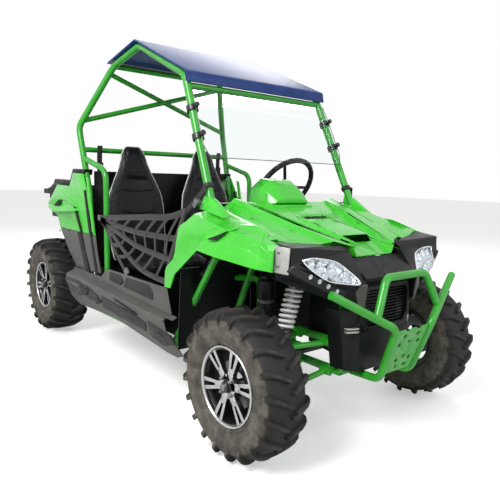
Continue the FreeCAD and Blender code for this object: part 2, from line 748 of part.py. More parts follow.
def bonnet_section(x):
    """Half of the bonnet's top line at one x, from the middle out to the ridge."""
    share = (x - BONNET_BACK) / (BONNET_NOSE - BONNET_BACK)

    def level(back, nose):
        return back + (nose - back) * share

    ridge_z = level(RIDGE_BACK_Z, RIDGE_NOSE_Z)
    strip_z = level(STRIP_BACK_Z, STRIP_NOSE_Z)
    strip_in = level(RIDGE_Y * 0.62, RIDGE_Y * 0.3)
    strip_out = level(RIDGE_Y * 0.74, RIDGE_Y * 0.46)
    valley = (strip_out + RIDGE_Y) / 2
    return [
        (0, level(CENTRE_BACK_Z, CENTRE_NOSE_Z)),
        (strip_in - STRIP_RISE * 2, level(CENTRE_BACK_Z, CENTRE_NOSE_Z)),
        (strip_in, strip_z),
        (strip_out, strip_z + STRIP_RISE),
        (strip_out + STRIP_RISE * 2, strip_z - STRIP_RISE),
        (valley, (strip_z + ridge_z) / 2 - STRIP_RISE * 2),
        (RIDGE_Y - SEAT_GAP, ridge_z),
    ]


def bonnet():
    """The pressed panel between the fenders, open below, with the air scoop in its middle."""
    sections = []
    for x in (BONNET_BACK, BONNET_NOSE):
        half = bonnet_section(x)
        path = [(-y, z) for y, z in reversed(half[1:])] + half
        sections.append([Vector(x, y, z) for y, z in band(path, -SHEET)])
    panel = loft(sections)
    edge = [
        Vector(BONNET_BACK, -POD_OUT_Y, 0),
        Vector(BONNET_CORNER - SEAT_GAP, -POD_OUT_Y, 0),
        Vector(BONNET_BREAK - SEAT_GAP, -POD_IN_Y, 0),
        Vector(BONNET_NOSE, -POD_IN_Y * 0.8, 0),
    ]
    plan = edge + [Vector(place.x, -place.y, 0) for place in reversed(edge)]
    panel = panel.common(slab(plan, Vector(0, 0, RIDGE_BACK_Z * 2)))
    inside = RIDGE_Y - SEAT_GAP
    panel = panel.common(box(Vector(0, -inside, 0), Vector(BONNET_NOSE, inside, RIDGE_BACK_Z * 2)))
    pillar = rod(PILLAR_FOOT, ROOF_FRONT, CAGE_TUBE + SEAT_GAP)
    panel = panel.cut(pillar).cut(mirrored(pillar))
    hump = scoop(0)
    mouth = scoop(SHEET)
    mouth.translate(Vector(SHEET, 0, 0))
    return joined([panel, hump.cut(mouth)])


def scoop(inset):
    """The solid under the scoop's skin, or the hollow inside it."""
    def floor(x):
        share = (x - BONNET_BACK) / (BONNET_NOSE - BONNET_BACK)
        return CENTRE_BACK_Z + (CENTRE_NOSE_Z - CENTRE_BACK_Z) * share

    half = SCOOP_HALF - inset
    foot_half = SCOOP_HALF * 1.35 - inset
    low = floor(SCOOP_MOUTH_X) - SHEET / 2
    high = floor(SCOOP_MOUTH_X) + SCOOP_RISE - inset
    back = floor(SCOOP_BACK_X) - SHEET / 2
    mouth = [
        Vector(SCOOP_MOUTH_X, -foot_half, low),
        Vector(SCOOP_MOUTH_X, -half, high),
        Vector(SCOOP_MOUTH_X, half, high),
        Vector(SCOOP_MOUTH_X, foot_half, low),
    ]
    tail = [
        Vector(SCOOP_BACK_X, -foot_half, back),
        Vector(SCOOP_BACK_X, -half, back + SHEET / 2),
        Vector(SCOOP_BACK_X, half, back + SHEET / 2),
        Vector(SCOOP_BACK_X, foot_half, back),
    ]
    return loft([tail, mouth])


def cowl():
    """The faceted pod on the bonnet's back edge that hoods the instruments."""
    seat = bonnet_section(COWL_FRONT)[0][1] + SEAT_GAP
    foot = bonnet_section(BONNET_BACK)[0][1] + SEAT_GAP
    tall = COWL_HIGH - COWL_LOW
    half_shares = ((1.0, 0.0), (0.92, 0.5), (0.52, 1.0))
    def section(x, low, high, width):
        right = [Vector(x, -width * y, low + (high - low) * z) for y, z in half_shares]
        return right + [Vector(place.x, -place.y, place.z) for place in reversed(right)]

    depth = COWL_FRONT - COWL_BACK
    back = section(BONNET_BACK, foot, foot + tall * 0.72, COWL_HALF)
    front = section(COWL_FRONT, seat, seat + tall * 0.16, COWL_HALF * 0.8)
    nose = loft([back, front])
    crown = section(COWL_BACK, COWL_LOW, COWL_HIGH, COWL_HALF)
    rear = loft([crown, section(BONNET_BACK, COWL_LOW, foot + tall * 0.72, COWL_HALF)])
    hollow_crown = section(COWL_BACK - SHEET, COWL_LOW - SHEET, COWL_HIGH - SHEET, COWL_HALF - SHEET)
    inner = section(BONNET_BACK - SHEET, COWL_LOW - SHEET, foot + tall * 0.6, COWL_HALF - SHEET * 2)
    rear = rear.cut(loft([hollow_crown, inner]))
    keep = box(Vector(COWL_BACK, -COWL_HALF, COWL_LOW), Vector(BONNET_BACK - SEAT_GAP, COWL_HALF, COWL_HIGH * 2))
    return joined([nose, rear.common(keep), bridge(foot, depth)])


def bridge(foot, depth):
    """The short deck that carries the pod's back over the bonnet's edge."""
    low = Vector(BONNET_BACK - depth * 0.2, -COWL_HALF * 0.8, foot)
    high = Vector(BONNET_BACK + depth * 0.1, COWL_HALF * 0.8, foot + SHEET)
    return box(low, high)


def fender_section(x):
    """Ridge, shoulder, side and lower edge of the left fender's skin at one x."""
    share = (x - FENDER_BACK) / (FENDER_NOSE - FENDER_BACK)
    ridge = bonnet_section(x)[-1][1]
    drop = ridge - PANEL_SEAM_Z
    shoulder = RIDGE_Y + (FENDER_OUT_Y - RIDGE_Y) * (0.62 - 0.22 * share)
    waist = RIDGE_Y + (FENDER_OUT_Y - RIDGE_Y) * (0.92 - 0.2 * share)
    edge = RIDGE_Y + (FENDER_OUT_Y - RIDGE_Y) * (1.0 - 0.16 * share)
    return [
        (RIDGE_Y + SEAT_GAP, ridge),
        (shoulder, ridge - drop * 0.17),
        (waist, ridge - drop * 0.42),
        (edge, FENDER_TIP_Z),
    ]


def fender():
    """The skin over the left front wheel, cut to its arch and to the door opening."""
    sections = []
    for x in (FENDER_BACK, FENDER_NOSE):
        sections.append([Vector(x, y, z) for y, z in band(fender_section(x), -SHEET)])
    skin = loft(sections)
    length = FENDER_NOSE - FENDER_BACK
    height = FENDER_TOP_Z - FENDER_TIP_Z
    outline_shares = [
        (0.0, 0.0), (0.08, 0.28), (0.19, 0.64), (0.30, 0.86), (0.42, 1.02), (1.0, 1.02),
        (1.0, 0.42), (0.93, 0.44), (0.47, 0.545), (0.13, 0.13),
    ]
    outline = [(FENDER_BACK + length * x, FENDER_TIP_Z + height * z) for x, z in outline_shares]
    trim = side_outline(outline, RIDGE_Y, FENDER_OUT_Y)
    pillar = rod(PILLAR_FOOT, ROOF_FRONT, CAGE_TUBE + SEAT_GAP)
    pod_low = Vector(BONNET_CORNER - SEAT_GAP, RIDGE_Y, PANEL_SEAM_Z - FENDER_TIP_Z)
    pod_high = Vector(NOSE_TIP_X, POD_OUT_Y + SEAT_GAP, FENDER_TOP_Z * 2)
    return skin.common(trim).cut(pillar).cut(box(pod_low, pod_high))


def pod_section(out_share):
    """Side view of the nose pod at its inner end (0) or outer end (1)."""
    def level(inner, outer):
        return inner + (outer - inner) * out_share

    y = level(POD_IN_Y, POD_OUT_Y)
    back = level(BONNET_BREAK, BONNET_CORNER)
    tip = level(NOSE_TIP_X, POD_OUT_X)
    low = level(POD_IN_LOW_Z, POD_OUT_LOW_Z)
    top = level(RIDGE_NOSE_Z, POD_OUT_TOP_Z)
    path_shares = ((0.0, 1.0), (0.22, 0.93), (1.0, 0.42), (0.9, 0.06), (0.3, 0.0))
    return [Vector(back + (tip - back) * x, y, low + (top - low) * z) for x, z in path_shares]


def pod_shell():
    """The nose pod's skin as a C-shaped sheet between its inner and outer ends."""
    sections = []
    for share in (0.0, 1.0):
        points = pod_section(share)
        path = [(place.x, place.z) for place in points]
        sections.append([Vector(x, points[0].y, z) for x, z in band(path, -SHEET)])
    plan = [
        Vector(BONNET_BREAK, POD_IN_Y, 0),
        Vector(NOSE_TIP_X + CUT_OVERRUN, POD_IN_Y, 0),
        Vector(NOSE_TIP_X + CUT_OVERRUN, POD_OUT_Y, 0),
        Vector(BONNET_CORNER, POD_OUT_Y, 0),
    ]
    return loft(sections).common(slab(plan, Vector(0, 0, RIDGE_BACK_Z)))


def pod_solid(shift):
    shape = loft([pod_section(0.0), pod_section(1.0)])
    shape.translate(shift)
    return shape


def headlight_prism(growth):
    """The lamp's outline seen from the front, swept along the vehicle."""
    width = POD_OUT_Y - POD_IN_Y
    tall = RIDGE_NOSE_Z - FASCIA_TOP_Z
    outline_shares = (
        (0.83, 0.75), (0.60, 0.79), (0.28, 0.72), (0.07, 0.46), (0.04, 0.10), (0.48, 0.12), (0.72, 0.40),
    )
    centre_y = POD_IN_Y + width * 0.42
    centre_z = FASCIA_TOP_Z + tall * 0.45
    points = []
    for y_share, z_share in outline_shares:
        y = POD_IN_Y + width * y_share
        z = FASCIA_TOP_Z + tall * z_share
        reach = math.hypot(y - centre_y, z - centre_z)
        scale = (reach + growth) / reach
        points.append(Vector(FRONT_AXLE_X, centre_y + (y - centre_y) * scale, centre_z + (z - centre_z) * scale))
    return slab(points, Vector(NOSE_TIP_X - FRONT_AXLE_X + CUT_OVERRUN, 0, 0))


def headlight():
    proud = pod_solid(Vector(LAMP_STAND, 0, 0))
    behind = pod_solid(Vector(-LAMP_DEPTH, 0, 0))
    return headlight_prism(0).common(proud).cut(behind)


def nose_pod():
    """One headlight pod with its inner cheek and the lamp's opening."""
    cheek = slab(pod_section(0.0), Vector(0, SHEET, 0))
    whole = joined([pod_shell(), cheek])
    return whole.cut(headlight_prism(SEAT_GAP))


def nose_centre():
    """The black panel between the pods, from the bonnet's edge down to the grille."""
    half = POD_IN_Y - SEAT_GAP
    start = (BONNET_NOSE + SEAT_GAP, CENTRE_NOSE_Z - SHEET)
    edge = (NOSE_TIP_X - CUT_OVERRUN, FASCIA_TOP_Z + SHEET * 6)
    foot = (FASCIA_X + SHEET, FASCIA_TOP_Z + SEAT_GAP)
    return side_outline(band([start, edge, foot], -SHEET), -half, half * 2)


def fascia():
    """The black shield below the lamps, with the grille's opening in its face."""
    def path(z, wide, front):
        half = POD_IN_Y + wide
        rear = FASCIA_X - front
        nose = FASCIA_X + SHEET
        right = [(rear - SHEET * 12, -half), (rear - SHEET, -half * 0.92), (nose, -GRILLE_HALF - SHEET * 2)]
        whole = right + [(x, -y) for x, y in reversed(right)]
        return [Vector(x, y, z) for x, y in band(whole, SHEET)]

    shield = loft([path(FASCIA_LOW_Z, 48.0, 34.0), path(FASCIA_SHOULDER_Z, 80.0, 20.0)])
    half = POD_IN_Y - SEAT_GAP
    face_low = Vector(FASCIA_X, -half, FASCIA_SHOULDER_Z - SHEET)
    face = box(face_low, Vector(FASCIA_X + SHEET, half, FASCIA_TOP_Z))
    low = Vector(FASCIA_X - CUT_OVERRUN * 3, -GRILLE_HALF, GRILLE_LOW)
    high = Vector(FASCIA_X + CUT_OVERRUN * 2, GRILLE_HALF, GRILLE_HIGH)
    return joined([shield, face]).cut(box(low, high))


def grille():
    """A frame with level slats in the shield's opening."""
    gap = SEAT_GAP
    thick = SHEET * 2
    x = FASCIA_X - SHEET
    outer = box(Vector(x, -GRILLE_HALF + gap, GRILLE_LOW + gap), Vector(x + thick, GRILLE_HALF - gap, GRILLE_HIGH - gap))
    border = SHEET * 1.6
    inner_low = Vector(x - gap, -GRILLE_HALF + border, GRILLE_LOW + border)
    inner_high = Vector(x + thick + gap, GRILLE_HALF - border, GRILLE_HIGH - border)
    frame = outer.cut(box(inner_low, inner_high))
    pieces = [frame]
    pitch = (GRILLE_HIGH - GRILLE_LOW - border * 2) / SLAT_COUNT
    for index in range(1, SLAT_COUNT):
        z = GRILLE_LOW + border + pitch * index
        low = Vector(x + SHEET * 0.2, -GRILLE_HALF + border, z - SHEET * 0.4)
        pieces.append(box(low, Vector(x + thick - SHEET * 0.2, GRILLE_HALF - border, z + SHEET * 0.4)))
    return joined(pieces)


def running_light():
    """The strip that lies on the slanted lower lip of the left pod."""
    inner = pod_section(0.0)
    outer = pod_section(1.0)
    lip_share = 0.75
    inner_place = between(inner[2], inner[3], lip_share)
    outer_place = between(outer[2], outer[3], lip_share)
    start = between(inner_place, outer_place, 0.36)
    end = between(inner_place, outer_place, 0.84)
    rise = Vector(0, 0, SHEET * 3)
    depth = NOSE_TIP_X - FRONT_AXLE_X
    strip = slab([start, end, end.add(rise), start.add(rise)], Vector(depth, 0, 0))
    return strip.common(pod_solid(Vector(SHEET, 0, 0))).cut(pod_solid(Vector(SEAT_GAP, 0, 0)))


def corner_plate():
    """The grey cap between the fender's front end and the nose pod."""
    gap = SEAT_GAP
    x = FENDER_NOSE + gap
    section = fender_section(FENDER_NOSE)
    front = POD_OUT_X - (POD_OUT_X - FENDER_NOSE) * 0.2
    low = FASCIA_TOP_Z + SHEET * 8
    path = section[:3] + [(section[3][0] - SHEET * 4, low)]
    back = [Vector(x, y, z) for y, z in band(path, -SHEET)]
    inset = SHEET * 9
    head = [(path[0][0], path[0][1] - SHEET * 2), (path[1][0] - SHEET * 2, path[1][1] - SHEET * 3)]
    tail = [(path[2][0] - inset, path[2][1] - SHEET * 2), (path[3][0] - inset, low)]
    nose = [Vector(front, y, z) for y, z in band(head + tail, -SHEET)]
    return loft([back, nose])


def guard_side():
    """The left bar of the brush guard, from its free end down to the frame."""
    return bent_tube([GUARD_END, GUARD_CORNER, GUARD_LOW, GUARD_ROOT], GUARD_TUBE, GUARD_BEND)


def brush_guard():
    """Both side bars with the hoop between them and the short link to the frame."""
    side = guard_side()
    right_joint = Vector(HOOP_JOINT.x, -HOOP_JOINT.y, HOOP_JOINT.z)
    right_top = Vector(HOOP_TOP.x, -HOOP_TOP.y, HOOP_TOP.z)
    hoop = bent_tube([HOOP_JOINT, HOOP_TOP, right_top, right_joint], GUARD_TUBE, GUARD_BEND)
    return joined([side, mirrored(side), hoop])


def guard_plate():
    """The drilled plate between the bars, with a notched top edge."""
    top_share = 0.04
    low_share = 0.9
    top = between(GUARD_CORNER, GUARD_LOW, top_share)
    foot = between(GUARD_CORNER, GUARD_LOW, low_share)
    run = Vector(foot.x - top.x, 0, foot.z - top.z)
    normal = Vector(-run.z, 0, run.x).normalize()
    half_top = top.y - GUARD_TUBE - SEAT_GAP
    half_foot = foot.y - GUARD_TUBE - SEAT_GAP
    notch = PLATE_HOLE
    edge = [
        Vector(0, half_foot, run.Length),
        Vector(0, half_top, 0),
        Vector(0, half_top * 0.55, 0),
        Vector(0, half_top * 0.42, notch),
        Vector(0, half_top * 0.26, notch),
        Vector(0, half_top * 0.14, 0),
    ]
    outline = edge + [Vector(0, -place.y, place.z) for place in reversed(edge)]
    along = Vector(run).normalize()
    points = [top.add(Vector(0, place.y - top.y, 0)).add(Vector(along).multiply(place.z)) for place in outline]
    plate = slab(points, Vector(normal).multiply(PLATE_THICKNESS))
    hole_shares = ((0.5, 0.16), (0.0, 0.3), (0.72, 0.34), (0.0, 0.66), (0.5, 0.72), (0.34, 0.88))
    holes = []
    for y_share, z_share in hole_shares:
        for side in ((1, -1) if y_share else (1,)):
            place = top.add(Vector(0, side * half_foot * y_share - top.y, 0))
            place = place.add(Vector(along).multiply(run.Length * z_share))
            start = place.sub(Vector(normal).multiply(CUT_OVERRUN))
            holes.append(Part.makeCylinder(PLATE_HOLE, CUT_OVERRUN * 2, start, normal))
    beside = bent_tube([GUARD_END, GUARD_CORNER, GUARD_LOW, GUARD_ROOT], GUARD_TUBE + SEAT_GAP, GUARD_BEND)
    return plate.cut(Part.makeCompound(holes)).cut(beside).cut(mirrored(beside))


def diagonal(radius):
    """The tube from the pillar's seat down to the front of the rocker."""
    return rod(shifted(pillar_seat(), 0, FRAME_TUBE, 0), Vector(ROCKER_FRONT, ROCKER_Y, ROCKER_Z), radius)


def frame_tubes():
    """Half of the frame: rails, rocker, outriggers, front box and power unit cradle."""
    box_back = FRONT_AXLE_X - ARM_SPREAD * 1.75
    rail = [
        Vector(NOSE_RAIL_X, NOSE_RAIL_Y, RAIL_Z),
        Vector(box_back, NOSE_RAIL_Y, RAIL_Z),
        Vector(FLOOR_FRONT, FLOOR_RAIL_Y * 0.6, RAIL_Z),
        Vector(FLOOR_FRONT - NOSE_RAIL_Y, FLOOR_RAIL_Y, RAIL_Z),
        Vector(FRAME_BACK, FLOOR_RAIL_Y, RAIL_Z),
        Vector(REAR_POST_X, FLOOR_RAIL_Y, TRAY_RAIL_Z),
    ]
    upper = [
        Vector(NOSE_RAIL_X, NOSE_RAIL_Y, RAIL_Z),
        Vector(NOSE_RAIL_X, NOSE_RAIL_Y, UPPER_RAIL_Z - FRAME_BEND),
        Vector(FRONT_AXLE_X + FRAME_BEND, UPPER_RAIL_Y, UPPER_RAIL_Z),
        Vector(PILLAR_FOOT.x, UPPER_RAIL_Y, UPPER_RAIL_Z),
        Vector(FLOOR_FRONT + FRAME_BEND * 2, UPPER_RAIL_Y, RAIL_Z + FRAME_BEND * 3),
        Vector(FLOOR_FRONT + FRAME_BEND, FLOOR_RAIL_Y * 0.6, RAIL_Z),
    ]
    middle = [
        Vector(NOSE_RAIL_X, NOSE_RAIL_Y, UPPER_ARM_Z),
        Vector(box_back, NOSE_RAIL_Y, UPPER_ARM_Z),
        Vector(box_back, NOSE_RAIL_Y, RAIL_Z),
    ]
    cradle = [
        Vector(FRAME_BACK, ENGINE_HALF * 0.7, RAIL_Z),
        Vector(REAR_POST_X, ENGINE_HALF * 0.7, ENGINE_LOW - FRAME_TUBE - SEAT_GAP),
        Vector(ENGINE_BACK, ENGINE_HALF * 0.7, ENGINE_LOW - FRAME_TUBE - SEAT_GAP),
    ]
    pivot_low = Vector(SWING_PIVOT_X - FRAME_TUBE, PIVOT_PLATE_Y, RAIL_Z - FRAME_TUBE / 2)
    pivot_high = Vector(SWING_PIVOT_X + FRAME_TUBE, FLOOR_RAIL_Y, SWING_PIVOT_Z + FRAME_TUBE)
    tray_corner = Vector(TRAY_BACK + FRAME_TUBE * 5, UPPER_RAIL_Y, TRAY_RAIL_Z)
    post_top = Vector(REAR_POST_X, FLOOR_RAIL_Y, TRAY_RAIL_Z)
    rocker_back = Vector(FRAME_BACK * 0.72, ROCKER_Y, ROCKER_Z)
    pieces = [
        bent_tube(rail, FRAME_TUBE, FRAME_BEND),
        bent_tube(upper, SIDE_TUBE, FRAME_BEND),
        bent_tube(middle, FRAME_TUBE * 0.97, FRAME_BEND),
        bent_tube(cradle, FRAME_TUBE, FRAME_BEND),
        rod(rocker_back, Vector(ROCKER_FRONT, ROCKER_Y, ROCKER_Z), FRAME_TUBE),
        diagonal(FRAME_TUBE * 0.85),
        box(pivot_low, pivot_high),
        rod(tray_corner, post_top, SIDE_TUBE),
    ]
    for x in (UPRIGHT_FOOT.x, ROCKER_FRONT):
        pieces.append(rod(Vector(x, FLOOR_RAIL_Y * 0.9, RAIL_Z), Vector(x, ROCKER_Y, ROCKER_Z), SIDE_TUBE))
    return pieces


def pillar_seat():
    """Centre of the cross tube that the pillar's end rests on."""
    run = PILLAR_FOOT.sub(ROOF_FRONT).normalize()
    downhill = Vector(run).multiply(run.z).sub(UP).normalize().multiply(CAGE_TUBE)
    lowest = PILLAR_FOOT.add(downhill)
    return shifted(lowest, 0, 0, -TIE_TUBE - SEAT_GAP)


def lower_frame():
    half = frame_tubes()
    across = []
    places = (
        (NOSE_RAIL_X, NOSE_RAIL_Y, RAIL_Z),
        (FLOOR_FRONT, FLOOR_RAIL_Y * 0.6, RAIL_Z),
        (FRAME_BACK, FLOOR_RAIL_Y, RAIL_Z),
        (FRONT_AXLE_X, UPPER_RAIL_Y, UPPER_RAIL_Z),
        (pillar_seat().x, pillar_seat().y + FRAME_TUBE, pillar_seat().z),
        (REAR_POST_X, FLOOR_RAIL_Y, TRAY_RAIL_Z),
        (TRAY_BACK + FRAME_TUBE * 5, UPPER_RAIL_Y, TRAY_RAIL_Z),
    )
    for x, y, z in places:
        across.append(rod(Vector(x, -y, z), Vector(x, y, z), TIE_TUBE))
    left = joined(half)
    return joined([left, mirrored(left)] + across)


def floor_tub():
    """Footwell floor and toeboard as one moulding."""
    path = [
        (TOEBOARD_TOP_X, TOEBOARD_TOP_Z),
        (FLOOR_FRONT, FLOOR_Z),
        (FLOOR_BACK, FLOOR_Z),
    ]
    return side_outline(band(path, SHEET), -FLOOR_HALF, FLOOR_HALF * 2)


def seat_base():
    """The moulded box below the seats, open underneath."""
    low = Vector(BULKHEAD_X + SHEET + SEAT_GAP, -FLOOR_HALF, FLOOR_Z + SEAT_GAP)
    high = Vector(CUSHION_FRONT * 0.7, FLOOR_HALF, SEAT_BASE_TOP)
    inner_low = low.add(Vector(SHEET, SHEET, -CUT_OVERRUN))
    return box(low, high).cut(box(inner_low, high.sub(Vector(SHEET, SHEET, SHEET))))


def bulkhead():
    """The wall behind the seats."""
    low = Vector(BULKHEAD_X, -FLOOR_HALF, RAIL_Z + FRAME_TUBE + SEAT_GAP)
    return box(low, Vector(BULKHEAD_X + SHEET, FLOOR_HALF, BULKHEAD_TOP))


def seat():
    """Cushion and tall back of one bucket seat, a small gap apart."""
    nose = CUSHION_FRONT
    lift = SEAT_BASE_TOP + SEAT_GAP
    depth = CUSHION_TOP - lift
    cushion_outline = [
        (nose - depth * 0.3, lift), (nose, lift + depth * 0.45), (nose - depth * 0.2, CUSHION_TOP),
        (CUSHION_BACK + SEAT_GAP, CUSHION_TOP - depth * 0.35), (CUSHION_BACK + SEAT_GAP, lift),
    ]
    cushion = side_outline(cushion_outline, SEAT_Y - SEAT_HALF, SEAT_HALF * 2)
    lean = (BACK_TOP_X - CUSHION_BACK) / (BACK_TOP_Z - SEAT_BASE_TOP)
    foot_x = CUSHION_BACK
    shares = ((0.0, 0.9), (0.25, 1.0), (0.6, 0.98), (0.8, 0.6), (0.95, 0.52), (1.0, 0.34))
    tall = BACK_TOP_Z - lift
    right = [Vector(0, SEAT_Y - SEAT_HALF * width, lift + tall * height) for height, width in shares]
    left = [Vector(0, SEAT_Y * 2 - place.y, place.z) for place in reversed(right)]
    thick = BACK_THICKNESS
    outline = [
        (foot_x, lift), (foot_x + lean * tall, lift + tall),
        (foot_x + lean * tall - thick * 0.45, lift + tall), (foot_x - thick, lift + tall * 0.25), (foot_x - thick, lift),
    ]
    back = side_outline(outline, SEAT_Y - SEAT_HALF, SEAT_HALF * 2)
    front_view = slab([shifted(place, foot_x - thick * 3, 0, 0) for place in right + left], Vector(thick * 4, 0, 0))
    return cushion, back.common(front_view)


def dashboard():
    """The black panel under the cowl, hung between the pillars."""
    top = COWL_LOW - SEAT_GAP
    path = [
        (BONNET_BACK - SEAT_GAP, top), (DASH_X, top), (DASH_X - SHEET * 6, top - SHEET * 8),
        (DASH_X, top - SHEET * 30), (TOEBOARD_TOP_X - SHEET * 4, TOEBOARD_TOP_Z + SHEET * 2),
    ]
    panel = side_outline(band(path, SHEET), -DASH_HALF, DASH_HALF * 2)
    centre = Vector(STEERING_WHEEL_X, STEERING_WHEEL_Y, STEERING_WHEEL_Z)
    beyond = centre.add(column_axis().multiply(COLUMN_LENGTH + CUT_OVERRUN))
    return panel.cut(rod(centre, beyond, COLUMN_RADIUS + SEAT_GAP))


def column_axis():
    tilt = math.radians(COLUMN_TILT_DEG)
    return Vector(math.cos(tilt), 0, -math.sin(tilt))


def steering_wheel():
    """Rim, three spokes, boss and shaft, turning about the column."""
    centre = Vector(STEERING_WHEEL_X, STEERING_WHEEL_Y, STEERING_WHEEL_Z)
    axis = column_axis()
    grip = []
    for side in range(GRIP_SIDES):
        angle = 2 * math.pi * side / GRIP_SIDES
        out = STEERING_WHEEL_RADIUS + STEERING_GRIP_RADIUS * math.cos(angle)
        grip.append((out, -STEERING_GRIP_RADIUS * math.sin(angle)))
    ring = ring_of_facets(grip, 0, GRIP_STEPS, 0)
    if ring.Volume < 0:
        ring.reverse()
    ring.Placement = FreeCAD.Placement(centre, FreeCAD.Rotation(SIDEWAYS, axis))
    boss_start = centre.sub(Vector(axis).multiply(STEERING_GRIP_RADIUS))
    boss = Part.makeCylinder(STEERING_GRIP_RADIUS * 3, STEERING_GRIP_RADIUS * 2.5, boss_start, axis)
    pieces = [ring, boss]
    up = axis.cross(SIDEWAYS).normalize()
    for angle in (90, 210, 330):
        turn = math.radians(angle)
        spoke = Vector(SIDEWAYS).multiply(math.sin(turn)).add(Vector(up).multiply(-math.cos(turn)))
        end = centre.add(spoke.multiply(STEERING_WHEEL_RADIUS))
        pieces.append(rod(centre, end, STEERING_GRIP_RADIUS * 0.6))
    shaft_end = centre.add(Vector(axis).multiply(COLUMN_LENGTH * 0.8))
    pieces.append(rod(centre, shaft_end, SHAFT_RADIUS))
    return joined(pieces)


def steering_column():
    """The fixed sleeve round the shaft, up to the toeboard."""
    centre = Vector(STEERING_WHEEL_X, STEERING_WHEEL_Y, STEERING_WHEEL_Z)
    axis = column_axis()
    start = centre.add(Vector(axis).multiply(STEERING_GRIP_RADIUS * 4))
    end = centre.add(Vector(axis).multiply(COLUMN_LENGTH))
    sleeve = rod(start, end, COLUMN_RADIUS)
    bore_end = centre.add(Vector(axis).multiply(COLUMN_LENGTH * 0.8 + RUNNING_GAP * 20))
    return sleeve.cut(rod(centre, bore_end, SHAFT_RADIUS + RUNNING_GAP))


def sill():
    """The moulded rocker of the left side: inner upstand, light ledge and outer face."""
    def section(x, share):
        top = SILL_TOP_Z + SHEET * share
        ledge = SILL_TOP_Z - 70 - 42 * share
        bottom = ROCKER_Z - FRAME_TUBE * (0.5 + 1.2 * share)
        path = [
            (SILL_IN_Y, top), (SILL_IN_Y + SHEET * 1.5, ledge + SHEET * 2), (SILL_OUT_Y - SHEET * 2, ledge - SHEET),
            (SILL_OUT_Y, ledge - SHEET * 8), (SILL_IN_Y + SHEET * 4, bottom),
        ]
        return [Vector(x, y, z) for y, z in band(path, -SHEET)]

    shell = loft([section(SILL_BACK, 0.0), section(SILL_FRONT, 1.0)])
    length = SILL_FRONT - SILL_BACK
    high = SILL_TOP_Z + SHEET * 2
    low = ROCKER_Z - FRAME_TUBE * 2
    tall = high - low
    step = (COLUMN_LOW_Z - SEAT_GAP - low) / tall
    outline_shares = (
        (0.0, step), (0.3, step), (0.36, 1.0), (0.845, 1.0), (0.9, 0.55), (1.0, 0.1), (0.94, 0.0),
        (0.5, 0.2), (0.1, 0.12), (0.02, 0.24),
    )
    outline = [(SILL_BACK + length * x, low + tall * z) for x, z in outline_shares]
    shell = shell.common(side_outline(outline, SILL_IN_Y - SILL_OUT_Y, SILL_OUT_Y * 2))
    seat_z = ROCKER_Z + FRAME_TUBE + SEAT_GAP
    pieces = [shell]
    for x_share, inset in ((0.18, SHEET * 7), (0.8, SHEET * 6)):
        tab_low = Vector(SILL_BACK + length * x_share, ROCKER_Y, seat_z)
        tab_high = Vector(tab_low.x + SHEET * 6, SILL_OUT_Y - inset, seat_z + SHEET)
        pieces.append(box(tab_low, tab_high))
    return joined(pieces)


def panel_outline(shares):
    length = UPRIGHT_WAIST.x - PANEL_BACK + FRAME_TUBE * 8
    height = PANEL_TOP_Z - PANEL_SEAM_Z
    return [(PANEL_BACK + length * x, PANEL_SEAM_Z + height * z) for x, z in shares]


def side_skin(low, high):
    """The near-upright sheet of the rear side, leaning in towards its top."""
    path = [(PANEL_Y, high), (PANEL_Y + SHEET, (low + high) / 2), (PANEL_Y, low)]
    sections = []
    for x in (PANEL_BACK - CUT_OVERRUN, HIP_FOOT.x):
        sections.append([Vector(x, y, z) for y, z in band(path, -SHEET)])
    return loft(sections)


def side_panel():
    """The green quarter panel behind the door opening."""
    shares = (
        (0.0, 0.42), (0.22, 0.78), (0.50, 0.765), (0.57, 1.0), (0.78, 0.985), (0.93, 0.45), (1.0, 0.0),
        (0.27, 0.0), (0.22, 0.2), (0.0, 0.36),
    )
    skin = side_skin(PANEL_SEAM_Z, PANEL_TOP_Z)
    return skin.common(side_outline(panel_outline(shares), RIDGE_Y, FENDER_OUT_Y))


def side_column():
    """The grey column below the seam, tapering down to the sill."""
    height = PANEL_SEAM_Z - COLUMN_LOW_Z
    length = UPRIGHT_WAIST.x - PANEL_BACK + FRAME_TUBE * 8
    shares = ((0.27, 1.0), (1.0, 1.0), (1.1, 0.12), (0.86, 0.0), (0.62, 0.03))
    outline = [(PANEL_BACK + length * x, COLUMN_LOW_Z + height * z - SEAT_GAP) for x, z in shares]
    skin = side_skin(COLUMN_LOW_Z, PANEL_SEAM_Z)
    return skin.common(side_outline(outline, RIDGE_Y, FENDER_OUT_Y))


def strap(start, end, y, width):
    """A flat strap in the net's plane, from one (x, z) to another."""
    dx = end[0] - start[0]
    dz = end[1] - start[1]
    run = math.hypot(dx, dz)
    nx = -dz / run * width / 2
    nz = dx / run * width / 2
    outline = [(start[0] + nx, start[1] + nz), (end[0] + nx, end[1] + nz), (end[0] - nx, end[1] - nz), (start[0] - nx, start[1] - nz)]
    return side_outline(outline, y, NET_THICKNESS)


